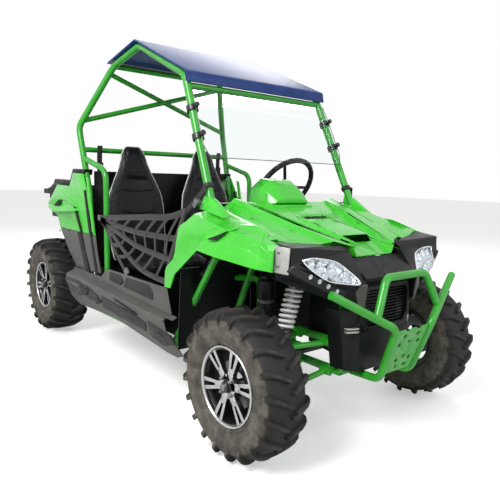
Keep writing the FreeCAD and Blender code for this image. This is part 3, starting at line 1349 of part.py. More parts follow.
def net():
    """The webbing in the left door opening, gathered behind and spread at the front."""
    y = ROCKER_Y + CAGE_TUBE * 0.85 + SEAT_GAP
    apex = (HIP_FOOT.x - CAGE_TUBE, UPRIGHT_WAIST.z - CAGE_TUBE * 5)
    front_shares = ((0.0, 0.0), (0.22, 0.3), (0.4, 0.66), (0.55, 0.96))
    front = (FLOOR_FRONT + CAGE_TUBE * 2, apex[1] + CAGE_TUBE * 3)
    drop = front[1] - SILL_TOP_Z
    ends = [(front[0] - drop * x, front[1] - drop * z) for x, z in front_shares]
    foot = (FLOOR_FRONT * 0.1, SILL_TOP_Z + CAGE_TUBE)
    ends.append(foot)
    rays = [strap(apex, end, y, NET_STRAP) for end in ends]
    links = []
    for share in (0.42, 0.58, 0.74, 0.9, 1.0):
        reached = [(apex[0] + (end[0] - apex[0]) * share, apex[1] + (end[1] - apex[1]) * share) for end in ends]
        for here, after in zip(reached, reached[1:]):
            links.append(strap(here, after, y, NET_STRAP * 0.7))
    return joined(rays + links)


def seat_belt():
    """The belt that hangs from the cross tube behind the left seat."""
    x = UPRIGHT_WAIST.x - CAGE_TUBE
    half = NET_STRAP
    share = (CROSSBAR_Z - UPRIGHT_WAIST.z) / (CAGE_KNEE.z - UPRIGHT_WAIST.z)
    bar = between(UPRIGHT_WAIST, CAGE_KNEE, share)
    front = CAGE_TUBE * 0.85 + SEAT_GAP
    low = Vector(BULKHEAD_X + SHEET + SEAT_GAP, UPRIGHT_WAIST.y - CAGE_TUBE * 3, SEAT_BASE_TOP + SEAT_GAP)
    path = [(bar.x + front, bar.z + half), (low.x, BULKHEAD_TOP + half), (low.x, low.z)]
    return side_outline(band(path, NET_THICKNESS), low.y - half * 2, half * 2)


def cargo_tray():
    """Open load tray behind the seats."""
    low = Vector(TRAY_BACK, -TRAY_HALF, TRAY_FLOOR)
    high = Vector(TRAY_FRONT, TRAY_HALF, TRAY_TOP)
    inner = box(low.add(Vector(SHEET, SHEET, SHEET)), high.add(Vector(-SHEET, -SHEET, CUT_OVERRUN)))
    rim_low = Vector(TRAY_BACK - SHEET, -TRAY_HALF - SHEET, TRAY_TOP - SHEET)
    rim_high = Vector(TRAY_FRONT, TRAY_HALF + SHEET, TRAY_TOP)
    return joined([box(low, high), box(rim_low, rim_high)]).cut(inner)


def tail_lamp():
    x = TRAY_BACK - SEAT_GAP - SHEET * 5
    tall = SHEET * 7
    low = Vector(x, TRAY_HALF - tall * 2, TAIL_LAMP_Z)
    high = Vector(TRAY_BACK - SEAT_GAP, TRAY_HALF - SHEET * 2, TAIL_LAMP_Z + tall * 1.6)
    return box(low, high)


def engine():
    """The power unit as one plain block on the rear cross tube."""
    low = Vector(ENGINE_BACK, -ENGINE_HALF, ENGINE_LOW)
    return box(low, Vector(ENGINE_FRONT, ENGINE_HALF, ENGINE_HIGH))


def swing_arm():
    """Two arms from the frame's pivot back to the bearing rings of the axle."""
    pivot = Vector(SWING_PIVOT_X, CARRIER_Y, SWING_PIVOT_Z)
    carrier = Vector(REAR_AXLE_X, CARRIER_Y, REAR_TYRE_RADIUS)
    ring_half = FRAME_TUBE * 1.2
    ring_start = shifted(carrier, 0, -ring_half, 0)
    ring = Part.makeCylinder(AXLE_RADIUS * 2.4, ring_half * 2, ring_start, SIDEWAYS)
    arm = rod(pivot, carrier, FRAME_TUBE * 0.9)
    lug_low = shifted(REAR_SHOCK_FOOT, -FRAME_TUBE, -FRAME_TUBE * 0.6, -FRAME_TUBE * 3)
    lug_high = shifted(REAR_SHOCK_FOOT, FRAME_TUBE, FRAME_TUBE * 0.6, -SHOCK_EYE_RADIUS - SEAT_GAP)
    left = joined([arm, ring, box(lug_low, lug_high)])
    tie = between(pivot, carrier, 0.3)
    tie_tube = rod(Vector(tie.x, -CARRIER_Y, tie.z), tie, FRAME_TUBE * 0.75)
    pivot_end = PIVOT_PLATE_Y - SEAT_GAP
    pivot_left = Vector(SWING_PIVOT_X, pivot_end, SWING_PIVOT_Z)
    pivot_tube = rod(Vector(SWING_PIVOT_X, -pivot_end, SWING_PIVOT_Z), pivot_left, FRAME_TUBE)
    bore_half = CARRIER_Y + ring_half + CUT_OVERRUN
    bore = rod(
        Vector(REAR_AXLE_X, -bore_half, REAR_TYRE_RADIUS),
        Vector(REAR_AXLE_X, bore_half, REAR_TYRE_RADIUS),
        AXLE_RADIUS + RUNNING_GAP,
    )
    return joined([pivot_tube, tie_tube, left, mirrored(left)]).cut(bore)


def axle():
    """The solid rear axle between the two hubs."""
    face_y = REAR_WHEEL_Y + REAR_RIM_WIDTH / 2 - SPOKE_INSET
    end = face_y - HUB_DEPTH - SEAT_GAP
    return rod(Vector(REAR_AXLE_X, -end, REAR_TYRE_RADIUS), Vector(REAR_AXLE_X, end, REAR_TYRE_RADIUS), AXLE_RADIUS)


def chain_case():
    """The closed case round the drive chain, from the power unit to the axle."""
    start = Vector(ENGINE_BACK + CHAIN_WIDTH * 2, 0, ENGINE_LOW - CHAIN_WIDTH)
    end = Vector(REAR_AXLE_X, 0, REAR_TYRE_RADIUS)
    radius = AXLE_RADIUS * 3.4
    low_y = CHAIN_Y - CHAIN_WIDTH / 2
    discs = []
    for place in (start, end):
        discs.append(Part.makeCylinder(radius, CHAIN_WIDTH, Vector(place.x, low_y, place.z), SIDEWAYS))
    run = end.sub(start)
    side = Vector(-run.z, 0, run.x).normalize().multiply(radius)
    corners = [start.add(side), end.add(side), end.sub(side), start.sub(side)]
    web = slab([Vector(place.x, low_y, place.z) for place in corners], Vector(0, CHAIN_WIDTH, 0))
    bore_start = Vector(REAR_AXLE_X, low_y - CUT_OVERRUN, REAR_TYRE_RADIUS)
    bore = Part.makeCylinder(AXLE_RADIUS + SHEET, CHAIN_WIDTH + CUT_OVERRUN * 2, bore_start, SIDEWAYS)
    return joined(discs + [web]).cut(bore)


def exhaust():
    """Silencer beside the power unit, with its header pipe."""
    start = Vector(TRAY_BACK + MUFFLER_RADIUS, MUFFLER_Y, MUFFLER_Z)
    end = Vector(ENGINE_BACK - MUFFLER_RADIUS * 0.4, MUFFLER_Y, MUFFLER_Z)
    can = rod(start, end, MUFFLER_RADIUS)
    pipe_radius = SHOCK_BODY_RADIUS
    corner = Vector(ENGINE_BACK + MUFFLER_RADIUS, MUFFLER_Y, MUFFLER_Z)
    port = Vector(ENGINE_BACK + MUFFLER_RADIUS, -ENGINE_HALF - SEAT_GAP, MUFFLER_Z)
    pipe = bent_tube([end, corner, port], pipe_radius, MUFFLER_RADIUS * 0.6)
    tail_end = shifted(start, -MUFFLER_RADIUS, 0, 0)
    return joined([can, pipe, rod(start, tail_end, pipe_radius)])


def mud_flap():
    """The black shield behind the left front wheel."""
    x = FLOOR_FRONT + SHEET * 12
    face = [
        Vector(x, FLOOR_HALF + SHEET, FASCIA_LOW_Z),
        Vector(x, SILL_OUT_Y - SHEET * 4, FASCIA_LOW_Z),
        Vector(x, SILL_OUT_Y - SHEET * 6, PANEL_SEAM_Z * 0.93),
        Vector(x, FLOOR_HALF + SHEET, PANEL_SEAM_Z * 0.93),
    ]
    return slab(face, Vector(SHEET, 0, 0)).cut(diagonal(FRAME_TUBE))


def nodes():
    front_tyre = front_place(tyre(FRONT_TYRE_RADIUS, FRONT_TYRE_WIDTH, FRONT_RIM_WIDTH))
    rear_tyre = rear_place(tyre(REAR_TYRE_RADIUS, REAR_TYRE_WIDTH, REAR_RIM_WIDTH))
    front_rim = front_place(rim(FRONT_RIM_WIDTH))
    rear_rim = rear_place(rim(REAR_RIM_WIDTH))
    front_shock = shock(FRONT_SHOCK_TOP, FRONT_SHOCK_FOOT)
    rear_shock = shock(REAR_SHOCK_TOP, REAR_SHOCK_FOOT)
    front_coil = shock_coil(FRONT_SHOCK_TOP, FRONT_SHOCK_FOOT)
    rear_coil = shock_coil(REAR_SHOCK_TOP, REAR_SHOCK_FOOT)
    return {
        "tyre_front_left": front_tyre,
        "tyre_front_right": mirrored(front_tyre),
        "rim_front_left": front_rim,
        "rim_front_right": mirrored(front_rim),
        "tyres_rear": pairs(rear_tyre),
        "rims_rear": pairs(rear_rim),
        "rear_axle": axle(),
        "knuckle_left": knuckle(),
        "knuckle_right": mirrored(knuckle()),
        "steering_rack": steering_rack(),
        "steering_wheel": steering_wheel(),
        "steering_column": Part.makeCompound([steering_column(), rack_housing()]),
        "front_arms": pairs(*front_arms()),
        "shocks": pairs(front_shock, rear_shock),
        "coils": pairs(front_coil, rear_coil),
        "swing_arm": swing_arm(),
        "chain_case": chain_case(),
        "engine": engine(),
        "exhaust": exhaust(),
        "lower_frame": lower_frame(),
        "cage_sides": pairs(cage_side(CAGE_TUBE)),
        "cage_cross": cage_cross(),
        "roof_panel": roof_panel(),
        "windshield": windshield(),
        "windshield_clamps": windshield_clamps(),
        "bonnet": bonnet(),
        "cowl": cowl(),
        "fenders_front": pairs(fender()),
        "nose_mask": Part.makeCompound([nose_pod(), mirrored(nose_pod()), nose_centre()]),
        "front_lamps": pairs(headlight(), running_light()),
        "corner_plates": pairs(corner_plate()),
        "fascia": fascia(),
        "grille": grille(),
        "brush_guard": brush_guard(),
        "guard_plate": guard_plate(),
        "floor_tub": Part.makeCompound([floor_tub(), mud_flap(), mirrored(mud_flap())]),
        "seat_base": seat_base(),
        "bulkhead": bulkhead(),
        "seats": pairs(*seat()),
        "seat_belts": pairs(seat_belt()),
        "dashboard": dashboard(),
        "sills": pairs(sill(), side_column()),
        "side_panels": pairs(side_panel()),
        "side_nets": pairs(net()),
        "cargo_tray": cargo_tray(),
        "tail_lamps": pairs(tail_lamp()),
    }


os.makedirs("parts", exist_ok=True)
for name, shape in nodes().items():
    shape.exportStep("parts/" + name + ".step")
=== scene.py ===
# %% [markdown]
# A small two-seat off-road side by side. The frame file gives every rigid piece at its
# real place and size. This lesson dresses it: it gives each finish its real look, and
# makes again the pieces whose beauty is in their curves, such as tyres, springs and seats.
# %% Load the frame
import json
import math

import bmesh
import bpy
from mathutils import Matrix, Vector
from mathutils.bvhtree import BVHTree

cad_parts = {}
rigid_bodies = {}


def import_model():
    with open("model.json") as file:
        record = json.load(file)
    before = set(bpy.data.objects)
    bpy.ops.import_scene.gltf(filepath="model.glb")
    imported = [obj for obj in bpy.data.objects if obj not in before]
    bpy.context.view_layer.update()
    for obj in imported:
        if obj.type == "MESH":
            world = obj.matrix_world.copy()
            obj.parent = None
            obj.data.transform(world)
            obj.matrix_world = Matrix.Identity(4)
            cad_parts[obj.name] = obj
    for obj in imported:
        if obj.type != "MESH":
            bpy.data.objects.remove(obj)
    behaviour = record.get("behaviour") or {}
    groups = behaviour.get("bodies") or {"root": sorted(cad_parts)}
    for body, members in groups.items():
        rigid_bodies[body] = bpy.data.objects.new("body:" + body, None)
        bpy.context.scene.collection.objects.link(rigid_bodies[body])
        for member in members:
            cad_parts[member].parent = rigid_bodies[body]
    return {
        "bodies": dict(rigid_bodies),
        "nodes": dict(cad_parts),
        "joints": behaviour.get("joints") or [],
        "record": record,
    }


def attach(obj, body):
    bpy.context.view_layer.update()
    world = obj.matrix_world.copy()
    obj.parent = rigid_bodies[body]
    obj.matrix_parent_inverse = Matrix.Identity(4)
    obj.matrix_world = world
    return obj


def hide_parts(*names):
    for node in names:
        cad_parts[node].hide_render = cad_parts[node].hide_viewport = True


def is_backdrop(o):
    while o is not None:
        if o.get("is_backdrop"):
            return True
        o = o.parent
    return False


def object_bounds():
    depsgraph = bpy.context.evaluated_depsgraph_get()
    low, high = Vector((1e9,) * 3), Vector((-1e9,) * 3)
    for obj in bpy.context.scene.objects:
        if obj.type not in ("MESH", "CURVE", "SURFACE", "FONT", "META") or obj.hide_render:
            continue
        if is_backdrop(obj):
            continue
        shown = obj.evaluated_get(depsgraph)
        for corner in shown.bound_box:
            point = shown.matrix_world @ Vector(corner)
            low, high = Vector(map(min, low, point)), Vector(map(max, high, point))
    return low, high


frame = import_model()
cad_low, cad_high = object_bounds()
MM = 0.001
NODES = frame["nodes"]
print("frame box in mm:", [round(length / MM) for length in cad_high - cad_low])

# %% [markdown]
# The camera stands where the photographer stood: ahead of the right front corner, at
# about chest height. It is placed by its heading, its tilt and its roll, because those
# are what a person with a camera sets.
# %% Camera
CAMERA_PLACE = Vector((2.348, -1.651, 0.971))
HEADING = 2.450
TILT = -0.131
ROLL = 0.027
LENS_MM = 38.68
SENSOR_MM = 36.0

forward = Vector((math.cos(TILT) * math.cos(HEADING), math.cos(TILT) * math.sin(HEADING), math.sin(TILT)))
level_right = forward.cross(Vector((0, 0, 1))).normalized()
level_up = level_right.cross(forward)
right = level_right * math.cos(ROLL) + level_up * math.sin(ROLL)
up = level_up * math.cos(ROLL) - level_right * math.sin(ROLL)
turn = Matrix((right, up, -forward)).transposed()
camera_data = bpy.data.cameras.new("camera")
camera_data.lens = LENS_MM
camera_data.sensor_width = SENSOR_MM
camera_data.clip_start = 0.05
camera = bpy.data.objects.new("camera", camera_data)
camera.matrix_world = Matrix.Translation(CAMERA_PLACE) @ turn.to_4x4()
bpy.context.scene.collection.objects.link(camera)
bpy.context.scene.camera = camera
bpy.context.scene.view_settings.view_transform = "Standard"
print("camera lens in mm:", LENS_MM)

# %% [markdown]
# Every colour is written as the sRGB hex value that an eye would pick, and one function
# turns it to the linear numbers that light works in. One more function adds a node with
# its settings and links, so that a material reads as a list of what it is made of.
# %% Colour and node helpers


def colour(hex_value):
    """An sRGB hex colour as linear red, green, blue and alpha."""
    channels = [int(hex_value[place:place + 2], 16) / 255 for place in (1, 3, 5)]
    linear = [c / 12.92 if c <= 0.04045 else ((c + 0.055) / 1.055) ** 2.4 for c in channels]
    return (*linear, 1.0)


def add(tree, kind, inputs=None, stops=(), to=None, **settings):
    """A node with its settings, its inputs set or linked, and its first output led to a socket."""
    made = tree.nodes.new(kind)
    for name, value in settings.items():
        setattr(made, name, value)
    for name, value in (inputs or {}).items():
        socket = made.inputs[name]
        if isinstance(value, bpy.types.NodeSocket):
            tree.links.new(value, socket)
        else:
            socket.default_value = value
    if stops:
        elements = made.color_ramp.elements
        while len(elements) < len(stops):
            elements.new(0.5)
        for element, (position, value) in zip(elements, stops):
            element.position = position
            element.color = colour(value) if isinstance(value, str) else (value, value, value, 1)
    if to:
        tree.links.new(made.outputs[0], to)
    return made


def start_material(name, values):
    """A new material, with what is the same all over set on its shader's own sockets."""
    material = bpy.data.materials.new(name)
    material.use_nodes = True
    tree = material.node_tree
    sockets = tree.nodes["Principled BSDF"].inputs
    for socket, value in values.items():
        sockets[socket].default_value = value
    place = add(tree, "ShaderNodeTexCoord").outputs["Object"]
    return material, tree, sockets, place


def per_mm(size_mm):
    """The texture scale at which a pattern's features are about size_mm across."""
    return 1 / (size_mm * MM)


# %% [markdown]
# Moulded panels are ABS, coloured right through and polished by the mould, so they have a
# hard gloss over a faint waviness. The colour shifts a little from place to place, as
# dust and light scuffs do on the real thing. Polypropylene has a fine grain from its mould,
# which scatters light, so it looks dull and even. Its grain is drawn 1.6 mm wide, as coarse
# as it needs to show.
# %% Plastics
PLASTIC_IOR = 1.53
CLOUD_MM = 160.0
SCUFF_MM = 35.0


def moulded(name, base, shade, gloss, grain_mm, grain_depth_mm, shine=0.5, film=0.0):
    """A moulded plastic: two near colours, a gloss that varies, and a fine grain."""
    values = {"IOR": PLASTIC_IOR, "Specular IOR Level": shine, "Coat Weight": film}
    material, tree, sockets, place = start_material(name, values)
    clouds = add(tree, "ShaderNodeTexNoise", {"Vector": place, "Scale": per_mm(CLOUD_MM), "Detail": 5.0})
    stops = ((0.3, shade), (0.7, base))
    add(tree, "ShaderNodeValToRGB", {"Fac": clouds.outputs["Fac"]}, stops, sockets["Base Color"])
    inputs = {"Vector": place, "Scale": per_mm(SCUFF_MM), "Detail": 8.0, "Roughness": 0.7}
    scuffs = add(tree, "ShaderNodeTexNoise", inputs)
    stops = ((0.35, gloss * 0.8), (0.75, min(gloss * 1.5, 1.0)))
    add(tree, "ShaderNodeValToRGB", {"Fac": scuffs.outputs["Fac"]}, stops, sockets["Roughness"])
    grain = add(tree, "ShaderNodeTexNoise", {"Vector": place, "Scale": per_mm(grain_mm), "Detail": 2.0})
    inputs = {"Height": grain.outputs["Fac"], "Distance": grain_depth_mm * MM, "Strength": 0.6}
    add(tree, "ShaderNodeBump", inputs, to=sockets["Normal"])
    return material


green_abs = moulded("green gloss abs", "#45cf33", "#39c028", 0.24, 90.0, 0.6, 0.4, 0.4)
black_pp = moulded("black grained polypropylene", "#0d0e11", "#090a0c", 0.42, 1.6, 0.12, 0.25)
grey_pp = moulded("satin grey polypropylene", "#5b5a57", "#4f4e4c", 0.40, 1.6, 0.10, 0.3)
slate_pp = moulded("dark grey polypropylene", "#2c2c2d", "#252526", 0.42, 1.6, 0.10, 0.25)
grip_pu = moulded("black foamed grip", "#161616", "#101010", 0.6, 1.0, 0.1)
white_piping = moulded("white vinyl piping", "#e9e9e6", "#d8d8d4", 0.5, 2.0, 0.1)

# %% [markdown]
# Painted tubes carry powder coat: an even, slightly orange-peeled film, so a highlight on
# it has a soft, rippled edge. Springs have the same coat in white. The roof is a painted
# sheet without the clear film, so the sky turns it only a little pale.
# %% Paints
PEEL_MM = 4.0


def coated(name, base, shade, gloss, film=0.25, shine=0.5):
    """Powder coat with its orange peel."""
    values = {"Roughness": gloss, "Coat Weight": film, "Coat Roughness": 0.15, "Specular IOR Level": shine}
    material, tree, sockets, place = start_material(name, values)
    clouds = add(tree, "ShaderNodeTexNoise", {"Vector": place, "Scale": per_mm(70.0), "Detail": 5.0})
    stops = ((0.3, shade), (0.65, base))
    add(tree, "ShaderNodeValToRGB", {"Fac": clouds.outputs["Fac"]}, stops, sockets["Base Color"])
    peel = add(tree, "ShaderNodeTexNoise", {"Vector": place, "Scale": per_mm(PEEL_MM), "Detail": 2.0})
    inputs = {"Height": peel.outputs["Fac"], "Distance": 0.12 * MM, "Strength": 0.5}
    add(tree, "ShaderNodeBump", inputs, to=sockets["Normal"])
    return material


green_coat = coated("green powder coat", "#30a82a", "#289a23", 0.32)
black_coat = coated("black powder coat", "#0c0c0e", "#070708", 0.40)
white_coat = coated("white spring paint", "#ececea", "#dededb", 0.35)
roof_coat = coated("blue sheet paint", "#213d7c", "#1a326a", 0.36, film=0.0, shine=0.2)

# %% [markdown]
# The cast and turned metals are bare, so their colour is in the reflection, and fine
# machining marks stretch it. The lamp bowls are plated, and a light haze softens what
# they mirror.
# %% Metals


def metal(name, base, shade, rough, mark_mm, stretch=(1, 1, 1)):
    """A bare metal whose tool marks run along the axis with the smallest stretch."""
    material, tree, sockets, place = start_material(name, {"Metallic": 1.0})
    along = add(tree, "ShaderNodeMapping", {"Vector": place, "Scale": stretch}).outputs["Vector"]
    inputs = {"Vector": along, "Scale": per_mm(mark_mm), "Detail": 4.0, "Roughness": 0.6}
    marks = add(tree, "ShaderNodeTexNoise", inputs).outputs["Fac"]
    add(tree, "ShaderNodeValToRGB", {"Fac": marks}, ((0.3, shade), (0.7, base)), sockets["Base Color"])
    stops = ((0.3, rough * 0.8), (0.7, rough * 1.3))
    add(tree, "ShaderNodeValToRGB", {"Fac": marks}, stops, sockets["Roughness"])
    inputs = {"Height": marks, "Distance": 0.05 * MM, "Strength": 0.4}
    add(tree, "ShaderNodeBump", inputs, to=sockets["Normal"])
    return material


machined = metal("machined aluminium", "#d9dadb", "#b9babc", 0.24, 3.0, (1, 0.1, 1))
steel = metal("plain steel", "#9a9a9b", "#77777a", 0.38, 5.0)
cast = metal("dark cast alloy", "#6a6a6c", "#4c4c4f", 0.55, 2.5)
heated = metal("heat dulled steel", "#8d877e", "#6b645c", 0.45, 12.0)
plate_alu = metal("brushed plate", "#c9c8c4", "#b3b2ae", 0.42, 1.5, (1, 1, 0.06))
values = {"Base Color": colour("#e4e7ea"), "Metallic": 1.0}
chromed, tree, sockets, place = start_material("bright plated bowl", values)
haze = add(tree, "ShaderNodeTexNoise", {"Vector": place, "Scale": per_mm(40.0), "Detail": 2.0}).outputs["Fac"]
add(tree, "ShaderNodeValToRGB", {"Fac": haze}, ((0.3, 0.22), (0.7, 0.34)), sockets["Roughness"])

# %% [markdown]
# Rubber is dull. Dust turns its wall brown and its bars a darker brown-grey, and the tread
# between the bars is left nearly black, darker than the bars, which is painted shade. Webbing is
# woven from flat threads, so its bump is two sets of waves that cross. Grained vinyl has small
# pores that keep its gloss soft.
# %% Rubber, webbing and vinyl
DUST_MM = 45.0
WEFT_MM = 5.0
WARP_MM = 3.0
PORE_MM = 3.0
CREASE_MM = 60.0
WAVE_TURN = 6.28

tyre_rubber, tree, sockets, place = start_material("dusty tyre rubber", {"Roughness": 0.72})
inputs = {"Vector": place, "Scale": per_mm(DUST_MM), "Detail": 8.0, "Roughness": 0.65}
dust = add(tree, "ShaderNodeTexNoise", inputs).outputs["Fac"]
# The mark is dust on the wall and the bars; its low value on the tread between the bars is painted shade.
dust_and_tread_shade_mark = add(tree, "ShaderNodeAttribute", attribute_name="dusty").outputs["Fac"]
dust_and_shade_amount = add(tree, "ShaderNodeMath", {0: dust, 1: dust_and_tread_shade_mark}, operation="MULTIPLY").outputs[0]
stops = ((0.05, "#0f0e0e"), (0.28, "#211f1d"), (0.48, "#4c4841"), (0.78, "#787265"))
add(tree, "ShaderNodeValToRGB", {"Fac": dust_and_shade_amount}, stops, sockets["Base Color"])
grain = add(tree, "ShaderNodeTexNoise", {"Vector": place, "Scale": per_mm(3.0), "Detail": 4.0}).outputs["Fac"]
add(tree, "ShaderNodeBump", {"Height": grain, "Distance": 0.3 * MM, "Strength": 0.5}, to=sockets["Normal"])

values = {"Roughness": 0.85, "Sheen Weight": 0.3}
webbing, tree, sockets, place = start_material("woven webbing", values)
threads = []
for pitch_mm, way in ((WEFT_MM, "DIAGONAL"), (WARP_MM, "Z")):
    inputs = {"Vector": place, "Scale": per_mm(pitch_mm) / WAVE_TURN}
    threads.append(add(tree, "ShaderNodeTexWave", inputs, bands_direction=way).outputs["Fac"])
weave = add(tree, "ShaderNodeMath", {0: threads[0], 1: threads[1]}, operation="MULTIPLY").outputs[0]
add(tree, "ShaderNodeValToRGB", {"Fac": weave}, ((0.0, "#141312"), (1.0, "#2b2926")), sockets["Base Color"])
add(tree, "ShaderNodeBump", {"Height": weave, "Distance": 0.5 * MM, "Strength": 0.8}, to=sockets["Normal"])

values = {"Roughness": 0.42, "Specular IOR Level": 0.25}
vinyl, tree, sockets, place = start_material("black grained vinyl", values)
inputs = {"Vector": place, "Scale": per_mm(CREASE_MM), "Detail": 6.0}
creases = add(tree, "ShaderNodeTexNoise", inputs).outputs["Fac"]
add(tree, "ShaderNodeValToRGB", {"Fac": creases}, ((0.3, "#060709"), (0.7, "#0e0f13")), sockets["Base Color"])
pores = add(tree, "ShaderNodeTexVoronoi", {"Vector": place, "Scale": per_mm(PORE_MM)}).outputs["Distance"]
add(tree, "ShaderNodeBump", {"Height": pores, "Distance": 0.25 * MM, "Strength": 0.35}, to=sockets["Normal"])

# %% [markdown]
# Clear plastic lets nearly all light through, and a faint smear is what shows that it is
# there. Its IOR is set below the real one, because each thin sheet here bends light twice.
# %% Clear plastics


def clear_plastic(name, tint, ior, smear_mm, detail, stops):
    values = {"Base Color": colour(tint), "Transmission Weight": 1.0, "IOR": ior}
    material, tree, sockets, place = start_material(name, values)
    smears = add(tree, "ShaderNodeTexNoise", {"Vector": place, "Scale": per_mm(smear_mm), "Detail": detail})
    add(tree, "ShaderNodeValToRGB", {"Fac": smears.outputs["Fac"]}, stops, sockets["Roughness"])
    return material


LAMP_HAZE = ((0.3, 0.0), (0.8, 0.04))
clear_sheet = clear_plastic("clear polycarbonate", "#f6fbfb", 1.2, 120.0, 5.0, ((0.4, 0.01), (0.8, 0.05)))
lamp_cover = clear_plastic("clear lamp cover", "#f2f5f7", 1.12, 60.0, 3.0, LAMP_HAZE)
red_cover = clear_plastic("red lamp cover", "#c4161a", 1.12, 60.0, 3.0, LAMP_HAZE)
print("materials:", len(bpy.data.materials))

# %% [markdown]
# Each frame node whose shape is already right keeps its mesh and gets its finish here.
# %% Finishes of the frame's own nodes
FINISH = {
    green_abs: "bonnet fenders_front side_panels",
    green_coat: "cage_sides cage_cross front_arms swing_arm brush_guard guard_plate lower_frame",
    black_pp: "nose_mask fascia grille floor_tub seat_base bulkhead dashboard cargo_tray",
    grey_pp: "sills",
    black_coat: "steering_column windshield_clamps",
    plate_alu: "corner_plates",
    steel: "rear_axle knuckle_left knuckle_right steering_rack shocks",
    white_coat: "coils",
    cast: "engine chain_case",
    heated: "exhaust",
    roof_coat: "roof_panel",
    clear_sheet: "windshield",
    lamp_cover: "front_lamps",
    red_cover: "tail_lamps",
    vinyl: "seats",
    webbing: "seat_belts side_nets",
    grip_pu: "steering_wheel",
    tyre_rubber: "tyre_front_left tyre_front_right tyres_rear",
    machined: "rim_front_left rim_front_right rims_rear",
}
for finish, names in FINISH.items():
    for name in names.split():
        NODES[name].data.materials.clear()
        NODES[name].data.materials.append(finish)
print("finishes:", len(FINISH), "nodes:", len(NODES))

# %% [markdown]
# Every piece below ends the same way: doubles merged, normals turned outward, edges eased,
# shading smooth except at real edges, and then a ride on the body of the frame that carries
# it. So one helper does each of these, and one more does them in turn.
# %% Finishing helpers
DOUBLES = 0.02 * MM


def settled(made):
    """The object's own mesh after its modifiers, which are then removed."""
    graph = bpy.context.evaluated_depsgraph_get()
    mesh = bpy.data.meshes.new_from_object(made.evaluated_get(graph))
    made.modifiers.clear()
    made.data = mesh
    return made


def placed(name, mesh):
    made = bpy.data.objects.new(name, mesh)
    bpy.context.scene.collection.objects.link(made)
    return made


def to_mesh(name, bm, outward=True):
    bmesh.ops.remove_doubles(bm, verts=bm.verts, dist=DOUBLES)
    if outward:
        bmesh.ops.recalc_face_normals(bm, faces=bm.faces)
    mesh = bpy.data.meshes.new(name)
    bm.to_mesh(mesh)
    bm.free()
    return mesh


def shown(made, finishes, body="root", nodes="", edge_deg=32, slot=None):
    """Gives a piece its finishes and its body, in place of the frame nodes named."""
    made.data.materials.clear()
    for finish in finishes if isinstance(finishes, (list, tuple)) else [finishes]:
        made.data.materials.append(finish)
    made.data.shade_smooth()
    made.data.set_sharp_from_angle(angle=math.radians(edge_deg))
    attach(made, body)
    if nodes:
        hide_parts(*nodes.split())
    print(made.name, "faces:", len(made.data.polygons))
    return made


def bevelled(made, width_mm, segments=2, angle_deg=30):
    easing = made.modifiers.new("eased edges", "BEVEL")
    easing.width = width_mm * MM
    easing.segments = segments
    easing.limit_method = "ANGLE"
    easing.angle_limit = math.radians(angle_deg)
    return settled(made)


def mirrored_into(bm):
    """Adds the right-hand twin of everything in the mesh."""
    twin = bmesh.ops.duplicate(bm, geom=list(bm.verts) + list(bm.edges) + list(bm.faces))["geom"]
    faces = [part for part in twin if isinstance(part, bmesh.types.BMFace)]
    for vert in {vert for face in faces for vert in face.verts}:
        vert.co.y = -vert.co.y
    bmesh.ops.reverse_faces(bm, faces=faces)


def split_caps(bm):
    """Cuts each face of many corners into triangles, because it may not be flat."""
    bmesh.ops.triangulate(bm, faces=[face for face in bm.faces if len(face.verts) > 4])


def finished(name, bm, finish, ease=None, twin=False, split=False, **looks):
    """The whole end of a piece: twin, caps, mesh, edges eased by (width, segments, angle), finish."""
    if twin:
        mirrored_into(bm)
    if split:
        split_caps(bm)
    made = placed(name, to_mesh(name, bm))
    if ease:
        made = bevelled(made, *ease)
    return shown(made, finish, **looks)


def pour(bm, source):
    """Adds a mesh or an object to this mesh, and drops what it came from."""
    if isinstance(source, bmesh.types.BMesh):
        mesh = bpy.data.meshes.new("poured")
        source.to_mesh(mesh)
        source.free()
    else:
        mesh = source.data
        bpy.data.objects.remove(source)
    bm.from_mesh(mesh)


# %% [markdown]
# Nearly every form is one of three: a profile turned about an axle, a skin stretched over
# rings of points, or an outline pushed straight through. The helpers take millimetres, and
# the mesh is in metres.
# %% Forms


def skin_between(bm, here, after):
    """Faces between two like rings of vertices."""
    faces = []
    for i in range(len(here)):
        j = (i + 1) % len(here)
        faces.append(bm.faces.new((here[i], here[j], after[j], after[i])))
    return faces


def loft_rings(bm, rings):
    """Joins like rings of points, in mm, into one skin with capped ends."""
    made = [[bm.verts.new(Vector(place) * MM) for place in ring] for ring in rings]
    for here, after in zip(made, made[1:]):
        skin_between(bm, here, after)
    bm.faces.new(made[0][::-1])
    bm.faces.new(made[-1])


def loop_rings(bm, rings):
    """Joins like rings of points, in mm, into one skin whose last ring meets its first."""
    made = [[bm.verts.new(Vector(place) * MM) for place in ring] for ring in rings]
    for here, after in zip(made, made[1:] + made[:1]):
        skin_between(bm, here, after)


def lathe(bm, profile, steps):
    """Turns a closed (radius, y) profile in mm about the Y axis."""
    rings = []
    for step in range(steps):
        angle = 2 * math.pi * step / steps
        rings.append([(radius * math.sin(angle), y, radius * math.cos(angle)) for radius, y in profile])
    loop_rings(bm, rings)


def prism(bm, outline, axis, low, high):
    """An outline of two coordinates in mm, swept along the third one from low to high."""
    def corner(place, depth):
        parts = list(place)
        parts.insert("XYZ".index(axis), depth)
        return parts

    loft_rings(bm, [[corner(place, low) for place in outline], [corner(place, high) for place in outline]])


def circle(radius, out, corners, centre=(0, 0)):
    """A ring of places about a line along Y, which passes through the centre (x, z)."""
    turns = [2 * math.pi * corner / corners for corner in range(corners)]
    x, z = centre
    return [(x + radius * math.sin(turn), out, z + radius * math.cos(turn)) for turn in turns]


def ring_round(place, aim, radius, steps, side=None):
    """A ring of places about any aim."""
    if side is None:
        side = aim.orthogonal().normalized()
    cross = aim.cross(side)
    turns = [2 * math.pi * corner / steps for corner in range(steps)]
    return [place + (side * math.cos(t) + cross * math.sin(t)) * radius for t in turns]


